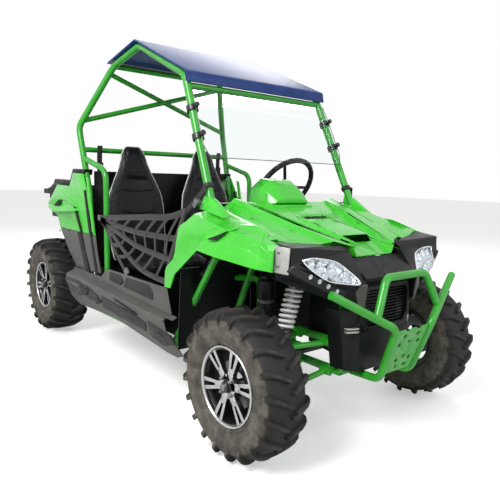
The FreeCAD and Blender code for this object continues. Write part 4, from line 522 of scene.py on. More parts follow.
def turned(bm, place, aim, profile, steps=20):
    """A round piece: (radius, forward) steps turned about its aim."""
    place, aim = Vector(place), Vector(aim).normalized()
    loft_rings(bm, [ring_round(place + aim * out, aim, radius, steps) for radius, out in profile])


def tube(bm, points, radius, sides=8):
    """A round cord through the points."""
    rings = []
    side = None
    for index, place in enumerate(points):
        run = (points[min(index + 1, len(points) - 1)] - points[max(index - 1, 0)]).normalized()
        side = run.orthogonal().normalized() if side is None else (side - run * side.dot(run)).normalized()
        rings.append(ring_round(place, run, radius, sides, side))
    loft_rings(bm, rings)


# %% [markdown]
# A moulded or pressed panel never has a knife edge. The frame's own panel is copied, its
# triangles are joined back into flats, and a bevel rounds it: widely along the creases
# between two flats of the skin, and finely along its cut edges. A weight on each edge
# tells the bevel which is which.
# %% Panels with rounded creases
CREASE_MOST_DEG = 62.0
CREASE_LEAST_DEG = 7.0
FLAT_DEG = 1.0


def node_copy(node):
    """The frame's own mesh, with its triangles joined back into flats."""
    bm = bmesh.new()
    bm.from_mesh(NODES[node].data)
    bmesh.ops.remove_doubles(bm, verts=bm.verts, dist=DOUBLES)
    bmesh.ops.dissolve_limit(bm, angle_limit=math.radians(FLAT_DEG), verts=bm.verts, edges=bm.edges)
    return bm


def edge_turn(edge):
    """How far the surface turns at the edge, in degrees."""
    return math.degrees(edge.calc_face_angle(0.0)) if len(edge.link_faces) == 2 else 0.0


def eased(node, finish, crease_mm, rim_mm, segments=3):
    """A copy of a node with wide rounding on its creases and fine rounding on its cut edges."""
    bm = node_copy(node)
    weight = bm.edges.layers.float.new("bevel_weight_edge")
    for edge in bm.edges:
        if edge_turn(edge) > CREASE_MOST_DEG:
            edge[weight] = rim_mm / crease_mm
        elif edge_turn(edge) > CREASE_LEAST_DEG:
            edge[weight] = 1.0
    made = placed(node + "_panel", to_mesh(node, bm, outward=False))
    easing = made.modifiers.new("eased edges", "BEVEL")
    easing.width = crease_mm * MM
    easing.segments = segments
    easing.limit_method = "WEIGHT"
    easing.use_clamp_overlap = False
    return shown(settled(made), finish, nodes=node, edge_deg=40)


# %% [markdown]
# A mud tyre is a round carcass with tall bars that curl from near the middle over the
# shoulder. The carcass is a profile turned about the axle. One bar is lofted from
# sections that follow the carcass, and Geometry Nodes set copies of it round the wheel.
# %% Trees that copy a piece


def new_tree(name, **inputs):
    """A tree of nodes with named inputs beside its geometry, and the sockets that give them."""
    tree = bpy.data.node_groups.new(name, "GeometryNodeTree")
    tree.interface.new_socket("Geometry", in_out="INPUT", socket_type="NodeSocketGeometry")
    for title, kind in inputs.items():
        tree.interface.new_socket(title.replace("_", " "), in_out="INPUT", socket_type="NodeSocket" + kind)
    tree.interface.new_socket("Geometry", in_out="OUTPUT", socket_type="NodeSocketGeometry")
    return tree, add(tree, "NodeGroupInput").outputs


def end_tree(tree, geometry, finish):
    """Ends a tree in real geometry with its finish."""
    real = add(tree, "GeometryNodeRealizeInstances", {"Geometry": geometry})
    done = add(tree, "GeometryNodeSetMaterial", {"Geometry": real.outputs[0], "Material": finish})
    add(tree, "NodeGroupOutput", {"Geometry": done.outputs[0]})
    return tree


def grown(made, tree, **values):
    """Runs a tree on the object, with its inputs set by identifier, and keeps the plain mesh."""
    modifier = made.modifiers.new("nodes", "NODES")
    modifier.node_group = tree
    for item in tree.interface.items_tree:
        if item.item_type == "SOCKET" and item.in_out == "INPUT" and item.name.replace(" ", "_") in values:
            modifier[item.identifier] = values[item.name.replace(" ", "_")]
    return settled(made)


def ring_tree(finish):
    """Copies of the piece's own mesh, evenly round the Y axis."""
    tree, given = new_tree("copies round the axle", Count="Int", First_angle="Float")
    step = add(tree, "ShaderNodeMath", {0: 2 * math.pi, 1: given["Count"]}, operation="DIVIDE")
    index = add(tree, "GeometryNodeInputIndex")
    angle = add(tree, "ShaderNodeMath", {0: index.outputs[0], 1: step.outputs[0]}, operation="MULTIPLY")
    onward = add(tree, "ShaderNodeMath", {0: angle.outputs[0], 1: given["First angle"]})
    about = add(tree, "ShaderNodeCombineXYZ", {"Y": onward.outputs[0]})
    points = add(tree, "GeometryNodePoints", {"Count": given["Count"]})
    inputs = {"Points": points.outputs[0], "Instance": given["Geometry"], "Rotation": about.outputs[0]}
    copies = add(tree, "GeometryNodeInstanceOnPoints", inputs)
    return end_tree(tree, copies.outputs[0], finish)


TYRE_RING = ring_tree(tyre_rubber)

# %% Tyres
BEAD_RADIUS = 128.0
LUGS_PER_SIDE = 20
CARCASS_STEPS = 120
LUG_EDGE = 1.5
FRONT_WHEEL = {"radius": 267.0, "half": 95.0, "bead": 69.7, "face": 64.0, "place": (0.951, 0.515, 0.267)}
REAR_WHEEL = {"radius": 285.0, "half": 115.0, "bead": 81.7, "face": 76.0, "place": (-1.015, 0.45, 0.285)}
# Height and width of the carcass, from bead to crown.
CARCASS_SHARES = (
    (0.14, 0.80), (0.18, 0.835), (0.20, 0.815), (0.30, 0.885), (0.42, 0.925), (0.50, 0.932), (0.515, 0.915),
    (0.60, 0.905), (0.70, 0.86), (0.78, 0.79), (0.84, 0.68), (0.868, 0.52), (0.878, 0.30), (0.88, 0.10),
)
# One bar from the crown outwards: its top and its foot as (width, height) shares.
LUG_TOP_SHARES = (
    (0.03, 1.0), (0.22, 1.0), (0.45, 0.99), (0.68, 0.965), (0.86, 0.90), (0.965, 0.79), (0.985, 0.69),
    (0.955, 0.62),
)
LUG_FOOT_SHARES = (
    (0.03, 0.84), (0.22, 0.84), (0.45, 0.83), (0.64, 0.80), (0.78, 0.74), (0.85, 0.66), (0.87, 0.60),
    (0.88, 0.57),
)
LUG_SLIPS = (0.0, 9.0, 22.0, 33.0, 40.0, 42.0, 43.0, 43.0)
LUG_WIDTHS = (10.0, 12.0, 13.0, 14.0, 18.0, 19.0, 16.0, 9.0)


def carcass_profile(radius, half, bead):
    """Half of the tyre's section, from bead to crown, as (radius, y)."""
    shares = ((0.0, bead / half), (0.115, bead / half)) + CARCASS_SHARES
    depth = radius - BEAD_RADIUS
    return [(BEAD_RADIUS + depth * up_share, half * out_share) for up_share, out_share in shares]


def lug_mesh(radius, half):
    """One bar, lofted along the tread and down the shoulder."""
    depth = radius - BEAD_RADIUS
    bm = bmesh.new()
    rings = []
    sections = zip(LUG_TOP_SHARES, LUG_FOOT_SHARES, LUG_SLIPS, LUG_WIDTHS)
    for (top_y, top_r), (foot_y, foot_r), slip, width in sections:
        high = BEAD_RADIUS + depth * top_r
        low = BEAD_RADIUS + depth * foot_r
        corners = (
            (-1.25, low, foot_y), (-1.0, high - LUG_EDGE, top_y), (-0.8, high, top_y), (0.8, high, top_y),
            (1.0, high - LUG_EDGE, top_y), (1.25, low, foot_y),
        )
        ring = []
        for across, level, y in corners:
            angle = (across * width / 2 - slip) / radius
            ring.append((level * math.sin(angle), half * y, level * math.cos(angle)))
        rings.append(ring)
    loft_rings(bm, rings)
    return to_mesh("lug", bm)


def wheel_tyre(spec):
    """Carcass and bars of one left-hand tyre, about the Y axis."""
    radius, half = spec["radius"], spec["half"]
    side = carcass_profile(radius, half, spec["bead"])
    bm = bmesh.new()
    lathe(bm, [(r, -y) for r, y in side] + side[::-1], CARCASS_STEPS)
    pitch = 2 * math.pi / LUGS_PER_SIDE
    for way, first in ((1, math.pi), (-1, math.pi + pitch / 2)):
        lug = placed("lug", lug_mesh(radius, half))
        if way < 0:
            for vert in lug.data.vertices:
                vert.co.y = -vert.co.y
            lug.data.flip_normals()
        pour(bm, grown(lug, TYRE_RING, Count=LUGS_PER_SIDE, First_angle=first))
    return bm


def onto_axle(bm, spec, side):
    """Moves a left-hand wheel part from the Y axis to its axle, on the side given."""
    x, y, z = spec["place"]
    if side < 0:
        bmesh.ops.scale(bm, vec=(1, -1, 1), verts=bm.verts)
        bmesh.ops.reverse_faces(bm, faces=bm.faces)
    bmesh.ops.translate(bm, vec=(x, y * side, z), verts=bm.verts)


def from_axle(place, spec):
    """How far a place is from its axle, in mm."""
    return math.hypot(place.x - spec["place"][0], place.z - spec["place"][2]) / MM


def dress_tyres(name, spec, sides, body, node):
    """The tyres of one body, with a mark of dust on the wall and bars, and of painted shade on the tread
    between the bars.
    """
    bm = bmesh.new()
    for side in sides:
        one = wheel_tyre(spec)
        onto_axle(one, spec, side)
        pour(bm, one)
    mesh = to_mesh(name, bm)
    dusty = mesh.attributes.new("dusty", "FLOAT", "POINT")
    for vert, mark in zip(mesh.vertices, dusty.data):
        share = (from_axle(vert.co, spec) - BEAD_RADIUS) / (spec["radius"] - BEAD_RADIUS)
        # Full dust on the wall, some on the bars; the low mark on the tread between them is painted shade.
        mark.value = 1.0 if share < 0.75 else 0.15 if share < 0.9 else 0.6
    shown(placed(name, mesh), tyre_rubber, body, node, edge_deg=38, slot="tyre_rubber")


dress_tyres("mud_tyre_front_left", FRONT_WHEEL, (1,), "wheel_front_left", "tyre_front_left")
dress_tyres("mud_tyre_front_right", FRONT_WHEEL, (-1,), "wheel_front_right", "tyre_front_right")
dress_tyres("mud_tyres_rear", REAR_WHEEL, (1, -1), "wheels_rear", "tyres_rear")

# %% [markdown]
# A cast wheel is painted black all over, and then its front faces are turned bright on a
# lathe. So the finish follows the way a face points: a face that looks straight out of
# the wheel is machined, and everything behind it is black.
# %% Wheels
SPOKES = 6
SPOKE_START = 0.33
SPOKE_DEPTH = 18.0
SPOKE_RISE = 6.0
SPOKE_ROOT = 46.0
SPOKE_TIP = 125.0
# A spoke seen from outside, as convex blocks of (away from the axle, across) places.
SPOKE_BLOCKS = (
    ((14, -15), (46, -15), (66, -14), (72, -3), (72, 3), (66, 14), (46, 15), (14, 15)),
    ((58, 3.5), (62, 15), (132, 24), (132, 9)),
    ((62, -15), (58, -3.5), (132, -9), (132, -24)),
)
HUB_STEPS = ((40, -24), (44, -2), (42, 0), (27, 0), (26, -3))
NUT_CIRCLE = 34.0
NUT_STEPS = ((8.0, -2), (8.0, 7), (6.2, 9), (5.6, 13), (3.5, 15))
CAP_STEPS = ((24.0, 1), (24.0, 3), (20.0, 5), (19.0, 13), (13.0, 15), (13.0, 22), (9.0, 24))
DISC_SECTION = ((45, -46), (88, -46), (88, -41), (45, -41))


def spokes(bm, face_mm):
    """Six spokes, each split by a slot that is open at the rim, about the Y axis."""
    for index in range(SPOKES):
        turn = 2 * math.pi * index / SPOKES + SPOKE_START
        for outline in SPOKE_BLOCKS:
            back, front = [], []
            for away, across in outline:
                rise = SPOKE_RISE * max(away - SPOKE_ROOT, 0) / (SPOKE_TIP - SPOKE_ROOT)
                x = away * math.sin(turn) + across * math.cos(turn)
                z = away * math.cos(turn) - across * math.sin(turn)
                back.append((x, face_mm - SPOKE_DEPTH, z))
                front.append((x, face_mm + rise, z))
            loft_rings(bm, [back, front])


def rim_barrel(bm, bead_mm):
    """The rim's round part: a bright lip, a dark drop centre and a plain inner flange."""
    edge = bead_mm + 0.5
    profile = [
        (127.5, -edge), (127.5, edge - 1), (142, edge), (142.5, edge + 3), (140.5, edge + 5.5),
        (136, edge + 5.5), (132.5, edge + 1), (129, edge - 6), (125, edge - 12), (118, edge - 30),
        (117, -edge + 14), (122, -edge - 1), (138, -edge - 4), (142, -edge - 1),
    ]
    lathe(bm, profile, 96)


def cast_wheel(bm, spec):
    spokes(bm, spec["face"])
    rim_barrel(bm, spec["bead"])
    loft_rings(bm, [circle(radius, spec["face"] + out, 40) for radius, out in HUB_STEPS])
    split_caps(bm)


def wheel_fittings(bm, spec):
    """Four domed nuts, the castle nut with the axle end, and the brake disc behind."""
    face = spec["face"]
    for index in range(4):
        angle = math.pi / 4 + index * math.pi / 2
        centre = (NUT_CIRCLE * math.sin(angle), NUT_CIRCLE * math.cos(angle))
        loft_rings(bm, [circle(radius, face + out, 6, centre) for radius, out in NUT_STEPS])
    loft_rings(bm, [circle(radius, face + out, 18) for radius, out in CAP_STEPS])
    lathe(bm, [(radius, face + out) for radius, out in DISC_SECTION], 48)


def both_wheels(form, spec, sides):
    """One form on each side that the body carries."""
    whole = bmesh.new()
    for side in sides:
        part = bmesh.new()
        form(part, spec)
        bmesh.ops.recalc_face_normals(part, faces=part.faces)
        onto_axle(part, spec, side)
        pour(whole, part)
    return whole


def marked(made, finishes, choose, body, nodes="", slot=None):
    """Shows a piece of two finishes, each face with the one that choose picks."""
    marks = [choose(polygon) for polygon in made.data.polygons]
    shown(made, finishes, body, nodes, edge_deg=30, slot=slot)
    made.data.polygons.foreach_set("material_index", marks)


def dress_rim(node, spec, sides, body):
    """The cast wheel with bright faces, and the steel parts that hold it."""
    deep = spec["place"][1] + (spec["face"] - 10) * MM

    def wheel_finish(polygon):
        away = from_axle(polygon.center, spec)
        out = polygon.normal.y * (1 if polygon.center.y > 0 else -1)
        bright = (out > 0.9 or away > 134 and out > 0.3) and away > 27.5 and abs(polygon.center.y) > deep
        return 0 if bright else 1

    def fitting_finish(polygon):
        return 1 if 14.5 < from_axle(polygon.center, spec) < 30 else 0

    whole = both_wheels(cast_wheel, spec, sides)
    made = bevelled(placed(node + "_cast", to_mesh(node, whole)), 1.1, 2)
    marked(made, [machined, black_coat], wheel_finish, body, node, "machined_rim")
    small = both_wheels(wheel_fittings, spec, sides)
    hub = bevelled(placed(node + "_hub", to_mesh(node, small)), 0.6, 1)
    marked(hub, [steel, black_coat], fitting_finish, body, slot="steel_parts")


dress_rim("rim_front_left", FRONT_WHEEL, (1,), "wheel_front_left")
dress_rim("rim_front_right", FRONT_WHEEL, (-1,), "wheel_front_right")
dress_rim("rims_rear", REAR_WHEEL, (1, -1), "wheels_rear")

# %% [markdown]
# The green skins are injection moulded sheets about 5 mm thick, hung on the frame. Their
# flats and creases already lie in the frame file, so each skin is a rounded copy of it.
# %% Skins and sheet parts
eased("bonnet", green_abs, 7.0, 1.5)
eased("side_panels", green_abs, 6.0, 1.5)
eased("sills", grey_pp, 6.0, 1.5)
eased("roof_panel", roof_coat, 14.0, 2.0)
eased("dashboard", black_pp, 6.0, 1.5)
eased("seat_base", black_pp, 6.0, 4.0)
eased("engine", cast, 8.0, 8.0)
eased("chain_case", cast, 3.0, 3.0)
eased("guard_plate", green_coat, 1.0, 0.8, 2)

# %% [markdown]
# The nose is where the photograph shows the most form, so its skins are lofted anew here,
# a little crisper than the frame's. A loft gives a closed block, and a boolean trims it to
# its outline or cuts the lamp's pocket, as a saw and a router would.
# %% Trimming helpers
SKIN = 5.0


def trimmed(made, operation, tool):
    """Cuts the tool from the piece, or keeps only what is inside it."""
    cut = made.modifiers.new("cut", "BOOLEAN")
    cut.operation = operation
    cut.solver = "EXACT"
    cut.object = tool
    settled(made)
    bpy.data.objects.remove(tool)
    return made


def block(outline, axis, low, high):
    """A straight block, to trim with or to trim."""
    bm = bmesh.new()
    prism(bm, outline, axis, low, high)
    return placed("block", to_mesh("block", bm))


def rectangle(low_a, high_a, low_b, high_b):
    """Four corners between the lows and highs of two coordinates."""
    return [(low_a, low_b), (high_a, low_b), (high_a, high_b), (low_a, high_b)]


def sheeted(path, thick):
    """An open path of two coordinates as a closed outline, thick mm to its right."""
    inner = []
    for index, (a, b) in enumerate(path):
        before = path[max(index - 1, 0)]
        after = path[min(index + 1, len(path) - 1)]
        run = Vector((after[0] - before[0], after[1] - before[1])).normalized()
        inner.append((a + run.y * -thick, b + run.x * thick))
    return list(path) + inner[::-1]


def both_sides(made):
    """Adds the right-hand twin of a finished left-hand piece."""
    bm = bmesh.new()
    bm.from_mesh(made.data)
    mirrored_into(bm)
    bm.to_mesh(made.data)
    bm.free()
    return made


def scaled(outline, share, centre):
    """The outline drawn in towards its centre, or out from it."""
    mid_a, mid_b = centre
    return [(mid_a + (a - mid_a) * share, mid_b + (b - mid_b) * share) for a, b in outline]


def softened(outline, cut):
    """Each corner of the outline replaced by two points, for a softer shape."""
    soft = []
    for index, here in enumerate(outline):
        for next_place in (outline[index - 1], outline[(index + 1) % len(outline)]):
            soft.append(tuple(h + (n - h) * cut for h, n in zip(here, next_place)))
    return soft


# %% Headlight pods and the panel between them
POD_IN_Y, POD_OUT_Y = 150, 432
POD_BACK_X, POD_WALL_X, POCKET_BACK_X, NOSE_END_X = 1010, 1050, 1040, 1200
# Each end of the left pod as (x, z): top, brow, cheek, chin and foot.
POD_INNER = [(1071, 740), (1096.3, 724.6), (1186, 612.4), (1174.5, 533.2), (1105.5, 520)]
POD_OUTER = [(990, 762), (1086, 749.6), (1092, 689.1), (1083.2, 659.2), (1015, 632)]
POD_BACK_WALL = [(POD_IN_Y, 600), (425, 640), (425, 745), (POD_IN_Y, 725)]
MASK_MIDDLE = [(1094.5, 696), (1181, 634), (1155, 606.5)]
MASK_HALF = 149.5
# The headlight from the front, as (y, z).
LAMP_OUTLINE = [
    (390, 709), (333, 713), (235, 697), (178, 635), (181, 619), (204, 617), (313, 634), (359, 668),
]
LAMP_CENTRE = (284, 665)
soft_lamp = softened(softened(LAMP_OUTLINE, 0.16), 0.25)


def pod_corner(section, y, index):
    return Vector((section[index][0], y, section[index][1]))


def pod_mesh():
    """The pod's skin, each side of it two flat triangles."""
    bm = bmesh.new()
    inner = [bm.verts.new(pod_corner(POD_INNER, POD_IN_Y, index) * MM) for index in range(len(POD_INNER))]
    outer = [bm.verts.new(pod_corner(POD_OUTER, POD_OUT_Y, index) * MM) for index in range(len(POD_OUTER))]
    for i in range(len(inner)):
        j = (i + 1) % len(inner)
        bm.faces.new((inner[i], inner[j], outer[j]))
        bm.faces.new((inner[i], outer[j], outer[i]))
    bm.faces.new(inner[::-1])
    bm.faces.new(outer)
    return to_mesh("pod", bm)


pod = placed("pod", pod_mesh())
pocket = block(scaled(soft_lamp, 0.99, LAMP_CENTRE), "X", POCKET_BACK_X, NOSE_END_X)
trimmed(pod, "DIFFERENCE", pocket)
bm = bmesh.new()
pour(bm, pod)
pour(bm, block(POD_BACK_WALL, "X", POD_BACK_X, POD_WALL_X))
pods = both_sides(bevelled(placed("pods", to_mesh("pods", bm, outward=False)), 3.0, 3, 14))
bm = bmesh.new()
pour(bm, pods)
prism(bm, sheeted(MASK_MIDDLE, -SKIN), "Y", -MASK_HALF, MASK_HALF)
finished("nose_mask_panel", bm, black_pp, nodes="nose_mask", edge_deg=40)

# %% Front fenders
FENDER_STATIONS = (396.0, 800.0, 1030.0)
FENDER_LOW_Z = 504.0
FENDER_REACH = 143.0
RIDGE_Y = 402.0
SEAT_GAP = 0.3
FENDER_TRIM = [
    (470, 527), (468, 590), (478, 612), (524, 648), (536, 690), (540, 722), (552, 770), (600, 835),
    (662, 887.5), (1030, 887.5), (1030, 661.9), (985.6, 669.4), (694, 708.9), (540, 590), (512, 528),
]


def fender_levels(x):
    """Ridge, shoulder, side and lower edge of the left fender's skin at one x, as (y, z)."""
    taper = max(x - 800, 0) / 230
    ridge = 866 - 126 * (x - 600) / 494
    drop = ridge - 660
    return [
        (RIDGE_Y, ridge),
        (RIDGE_Y + FENDER_REACH * (0.6 - 0.28 * taper), ridge - drop * (0.17 - 0.12 * taper)),
        (RIDGE_Y + FENDER_REACH * (0.9 - 0.5 * taper), ridge - drop * (0.42 - 0.2 * taper)),
        (RIDGE_Y + FENDER_REACH * (1 - 0.55 * taper), FENDER_LOW_Z),
    ]


def fender_ring(x):
    ridge, *lower = fender_levels(x)
    return [(x, y, z) for y, z in sheeted([(ridge[0] + SEAT_GAP, ridge[1])] + lower, -SKIN)]


bm = bmesh.new()
loft_rings(bm, [fender_ring(x) for x in FENDER_STATIONS])
bmesh.ops.triangulate(bm, faces=bm.faces)
fender = placed("fenders_front_panel", to_mesh("fender", bm))
trimmed(fender, "INTERSECT", block(FENDER_TRIM, "Y", 380, 560))
trimmed(fender, "DIFFERENCE", block(rectangle(981.5, 1186, 402, 432.5), "Z", 600, 900))
shown(both_sides(bevelled(fender, 2.0, 2, 40)), green_abs, nodes="fenders_front", edge_deg=24)

# %% Corner plates and the fascia
CORNER_PLATE = [(1030.5, 452, 753), (1085.9, 438.5, 749.6), (1083.2, 438.5, 659.2), (1027.8, 452, 662.6)]
FASCIA_X = 1155
FASCIA_BEND_Y = 138
FASCIA_LOW_Z, FASCIA_TOP_Z = 284, 516
FASCIA_FOOT = {"half": 176, "rake": 36.4}
FASCIA_SHOULDER = {"half": 226, "rake": 26}
GRILLE_OPENING = rectangle(-128, 128, 438, 594)


def fascia_ring(half, rake, z):
    """The fascia's skin at one height, drawn back by its rake at the sides."""
    rear = FASCIA_X - SKIN - rake
    side = [(rear - 60, -half), (rear - SKIN, -half * 0.92), (FASCIA_X, -FASCIA_BEND_Y)]
    return [(x, y, z) for x, y in sheeted(side + [(x, -y) for x, y in side[::-1]], SKIN)]


bm = bmesh.new()
loft_rings(bm, [CORNER_PLATE, [(x, y - SKIN, z) for x, y, z in CORNER_PLATE]])
finished("corner_plates_flat", bm, plate_alu, (1.2, 2), twin=True, nodes="corner_plates")

bm = bmesh.new()
loft_rings(bm, [fascia_ring(z=FASCIA_LOW_Z, **FASCIA_FOOT), fascia_ring(z=FASCIA_TOP_Z, **FASCIA_SHOULDER)])
bmesh.ops.triangulate(bm, faces=bm.faces)
shield = placed("shield", to_mesh("shield", bm))
face_panel = block(rectangle(-MASK_HALF, MASK_HALF, FASCIA_TOP_Z - SKIN, 606), "X", FASCIA_X - SKIN, FASCIA_X)
bm = bmesh.new()
for part in (shield, face_panel):
    pour(bm, trimmed(part, "DIFFERENCE", block(GRILLE_OPENING, "X", FASCIA_X - 35, FASCIA_X + 15)))
fascia = bevelled(placed("fascia_shield", to_mesh("fascia", bm, outward=False)), 1.8, 2, 20)
shown(fascia, black_pp, nodes="fascia", edge_deg=35)

# %% [markdown]
# On these skins stand raised forms: flares over the wheels, ribs, plates, and black patches
# of painted shade where the sill has pockets. Each one is an outline on the side of the
# vehicle, laid on the skin below it. A small function says how far out the skin is at any
# place, so that every raised form touches it.
# %% Where the skins are


def line(value, stops):
    """Straight steps between (input, output) pairs."""
    for (a, low), (b, high) in zip(stops, stops[1:]):
        if value <= b:
            return low + (high - low) * max(value - a, 0) / (b - a)
    return stops[-1][1]


SIDE_SKIN = [(452, 499), (556, 504), (660, 499), (661, 499), (820, 504), (981, 499)]
UPSTAND_SKIN = [(436, 502), (500, 494)]
SILL_BACK, SILL_LENGTH = -600, 1182


def fender_y(x, z):
    return line(z, [(level, y) for y, level in fender_levels(x)[::-1]])


def side_y(x, z):
    return line(z, SIDE_SKIN)


def upstand_y(x, z):
    return line(z, UPSTAND_SKIN)


def sill_y(x, z):
    """The sill's face: it leans out below its ledge, which falls towards the front."""
    share = (x - SILL_BACK) / SILL_LENGTH
    ledge = 430 - 42 * share
    bottom = 262 - 16 * (0.5 + 1.2 * share)
    return line(z, [(bottom, 514), (ledge - 40, 555), (ledge - 5, 545), (ledge + 10, 501.5), (500, 494)])


# %% Raised plates


def raised_piece(name, outlines, skin, finish, proud, ease_mm=1.5, chamfer=5.0, sunk=3.0, stand=0.0):
    """Closed plates with chamfered edges on the skin, or a stand above it, and their twins."""
    bm = bmesh.new()
    for outline in outlines:
        centre = [sum(values) / len(outline) for values in zip(*outline)]
        top = []
        for x, z in outline:
            share = max(1 - chamfer / math.hypot(x - centre[0], z - centre[1]), 0.2)
            top += scaled([(x, z)], share, centre)
        rings = []
        for ring, out in ((outline, -sunk), (outline, proud * 0.25), (top, proud)):
            rings.append([(x, skin(x, z) + stand + out, z) for x, z in ring])
        loft_rings(bm, rings)
    finished(name, bm, finish, (ease_mm, 2, 28), twin=True, split=True, edge_deg=40)


# %% Flares over the wheels, with their vents
# Each station is x, the flare's top and its lower edge.
FRONT_FLARE = (
    (694, 726, 711), (718, 764, 706), (745, 785, 703), (823, 804, 693), (880, 802, 685), (938, 786, 676),
    (990, 752, 669), (1028, 720, 663),
)
REAR_FLARE = (
    (-984, 795, 781), (-941, 806, 766), (-842, 834, 748), (-745, 840, 758), (-645, 838, 764),
    (-560, 816, 770), (-505, 795, 776),
)
FRONT_VENT = [[(772, 752), (826, 786), (812, 753)]]
REAR_VENT = [[(-853, 786), (-752, 826), (-716, 824), (-780, 788)]]
FRONT_VENT_HOOD = [[(764, 764), (824, 800), (838, 792), (774, 753)]]
REAR_VENT_HOOD = [[(-858, 794), (-752, 838), (-712, 836), (-716, 826), (-756, 826), (-852, 786)]]
FLARE_LIP = 4.0


def flare(name, stations, skin, proud):
    """A ridge that swells out along the wheel arch, lofted through its stations."""
    bm = bmesh.new()
    rings = []
    for station in stations:
        x, top, low = station
        swell = proud * (0.12 if station in (stations[0], stations[-1]) else 1.0)
        middle = (top + low) / 2
        rings.append([
            (x, skin(x, low) - FLARE_LIP, low), (x, skin(x, low) + swell, low),
            (x, skin(x, middle) + swell * 0.25, middle), (x, skin(x, top) + swell * 0.9, top - 5),
            (x, skin(x, top) + swell * 0.5, top), (x, skin(x, top) - FLARE_LIP, top + FLARE_LIP),
        ])
    loft_rings(bm, rings)
    finished(name, bm, green_abs, (4.0, 3, 12), twin=True, edge_deg=50)


flare("front_flares", FRONT_FLARE, fender_y, 22.0)
flare("rear_flares", REAR_FLARE, side_y, 20.0)
raised_piece("front_vents", FRONT_VENT, fender_y, black_pp, 3.0, 0.5, 2.0, stand=14)
raised_piece("rear_vents", REAR_VENT, side_y, black_pp, 4.0, 0.5, 2.0, stand=13)
raised_piece("front_vent_hoods", FRONT_VENT_HOOD, fender_y, green_abs, 8.0, 1.5, 2.0, stand=14)
raised_piece("rear_vent_hoods", REAR_VENT_HOOD, side_y, green_abs, 8.0, 1.5, 2.0, stand=13)

# %% Ribs, columns and sill forms
GREEN_RIBS = [[(-405, 960), (-384, 955), (-312, 668), (-335, 668)]]
GREY_RIBS = [
    [(-335, 655), (-312, 655), (-243, 470), (-262, 466)],
    [(-468, 655), (-380, 655), (-305, 462), (-355, 462)],
    [(-775, 652), (-550, 652), (-430, 470), (-520, 466), (-690, 600)],
]
SILL_PLATES = [
    [(-590, 405), (-420, 408), (-330, 396), (-372, 350), (-440, 322), (-575, 330)],
    [(-318, 402), (-225, 388), (-150, 372), (-165, 338), (-300, 330), (-350, 342)],
    [(-120, 380), (205, 366), (330, 344), (310, 300), (50, 308), (-130, 322)],
    [(350, 360), (540, 340), (556, 300), (430, 262), (335, 292)],
]
SILL_PANELS = [
    [(-150, 492), (-20, 492), (10, 470), (-10, 446), (-140, 452)],
    [(30, 492), (250, 492), (290, 470), (300, 436), (20, 444)],
]
LEDGE_BAND = [[(-232, 428), (0, 419), (250, 409), (505, 399), (512, 391), (250, 400), (0, 410), (-236, 419)]]
# The sill's pockets and the strip under its ledge as black patches: painted shade.
POCKET_SHADES = [
    [(-430, 326), (-360, 384), (-262, 388), (-300, 352)],
    [(-210, 328), (-122, 360), (-114, 352), (-190, 322)],
    [(430, 330), (452, 332), (470, 316), (450, 312)], [(8, 396), (250, 372), (262, 366), (40, 388)],
]
GAPS = [
    [(-578, 799), (-545, 800), (-474, 661), (-489, 661)],
    [(-532, 659), (-480, 659), (-366, 455), (-422, 455)],
    [(-432, 890), (-412, 890), (-341, 662), (-372, 662)],
    [(-367, 659), (-341, 659), (-265, 465), (-296, 460)],
]
raised_piece("panel_ribs", GREEN_RIBS, side_y, green_abs, 7.0, 1.5, 7.0)
raised_piece("column_ribs", GREY_RIBS, side_y, grey_pp, 6.0, 1.5, 7.0)
raised_piece("sill_plates", SILL_PLATES, sill_y, slate_pp, 6.0, 1.5, 7.0)
raised_piece("sill_panels", SILL_PANELS, upstand_y, slate_pp, 4.0, 1.2, 6.0)
raised_piece("ledge_bands", LEDGE_BAND, sill_y, grey_pp, 4.0, 1.0, 2.0)
raised_piece("sill_pockets", POCKET_SHADES, sill_y, black_pp, 2.0, 0.4, 1.5, stand=7)
raised_piece("panel_gaps", GAPS, side_y, black_pp, 2.0, 0.3, 1.0, sunk=12.0, stand=6)

# %% [markdown]
# Where each windscreen pillar meets the bonnet it wears a moulded boot, and the bed has a
# black rail along the top of each quarter panel. The gauges stand in a green cowl with a
# black frame towards the driver. A black plate in the scoop's mouth is painted shade, for
# the dark inside it.
# %% Boots, bed rails, cowl and scoop mouth
BOOT_FOOT = [(732, 406, 832), (732, 446, 820), (575, 452, 850), (575, 404, 866)]
BOOT_TOP = [(636, 412, 892), (636, 430, 891), (584, 436, 902), (584, 400, 903)]
BED_RAIL = [
    (-988, 800), (-842, 905), (-652, 901), (-605, 972), (-462, 970), (-452, 1001), (-622, 1003), (-668, 938),
    (-905, 942), (-940, 905), (-1040, 880), (-1100, 880), (-1100, 850), (-1000, 850),
]
BED_RAIL_IN_Y, BED_RAIL_OUT_Y = 446, 492
# Each station of the cowl is x, its half width, and its foot, side and top heights.
COWL_STATIONS = (
    (493, 131, 863, 934, 977), (552, 129, 863, 936, 970), (596, 118, 864, 912, 946), (639, 98, 872, 884, 893),
)
COWL_LIP = [(570, 862), (660, 850), (660, 862), (570, 874)]
GAUGE_SECTION = ((-118, 875), (-118, 934), (-62, 970), (62, 970), (118, 934), (118, 875))
GAUGE_CENTRE = (0, 918)
GAUGE_STEPS = ((494, 0.94), (486, 0.9), (488, 0.8), (500, 0.78))
SCOOP_MOUTH = [(-96, 744), (-72, 768), (72, 768), (96, 744)]

bm = bmesh.new()
loft_rings(bm, [BOOT_FOOT, BOOT_TOP])
finished("pillar_boots", bm, green_abs, (4.0, 3), twin=True)

bm = bmesh.new()
prism(bm, BED_RAIL, "Y", BED_RAIL_IN_Y, BED_RAIL_OUT_Y)
finished("bed_rails", bm, black_pp, (4.0, 3), twin=True)

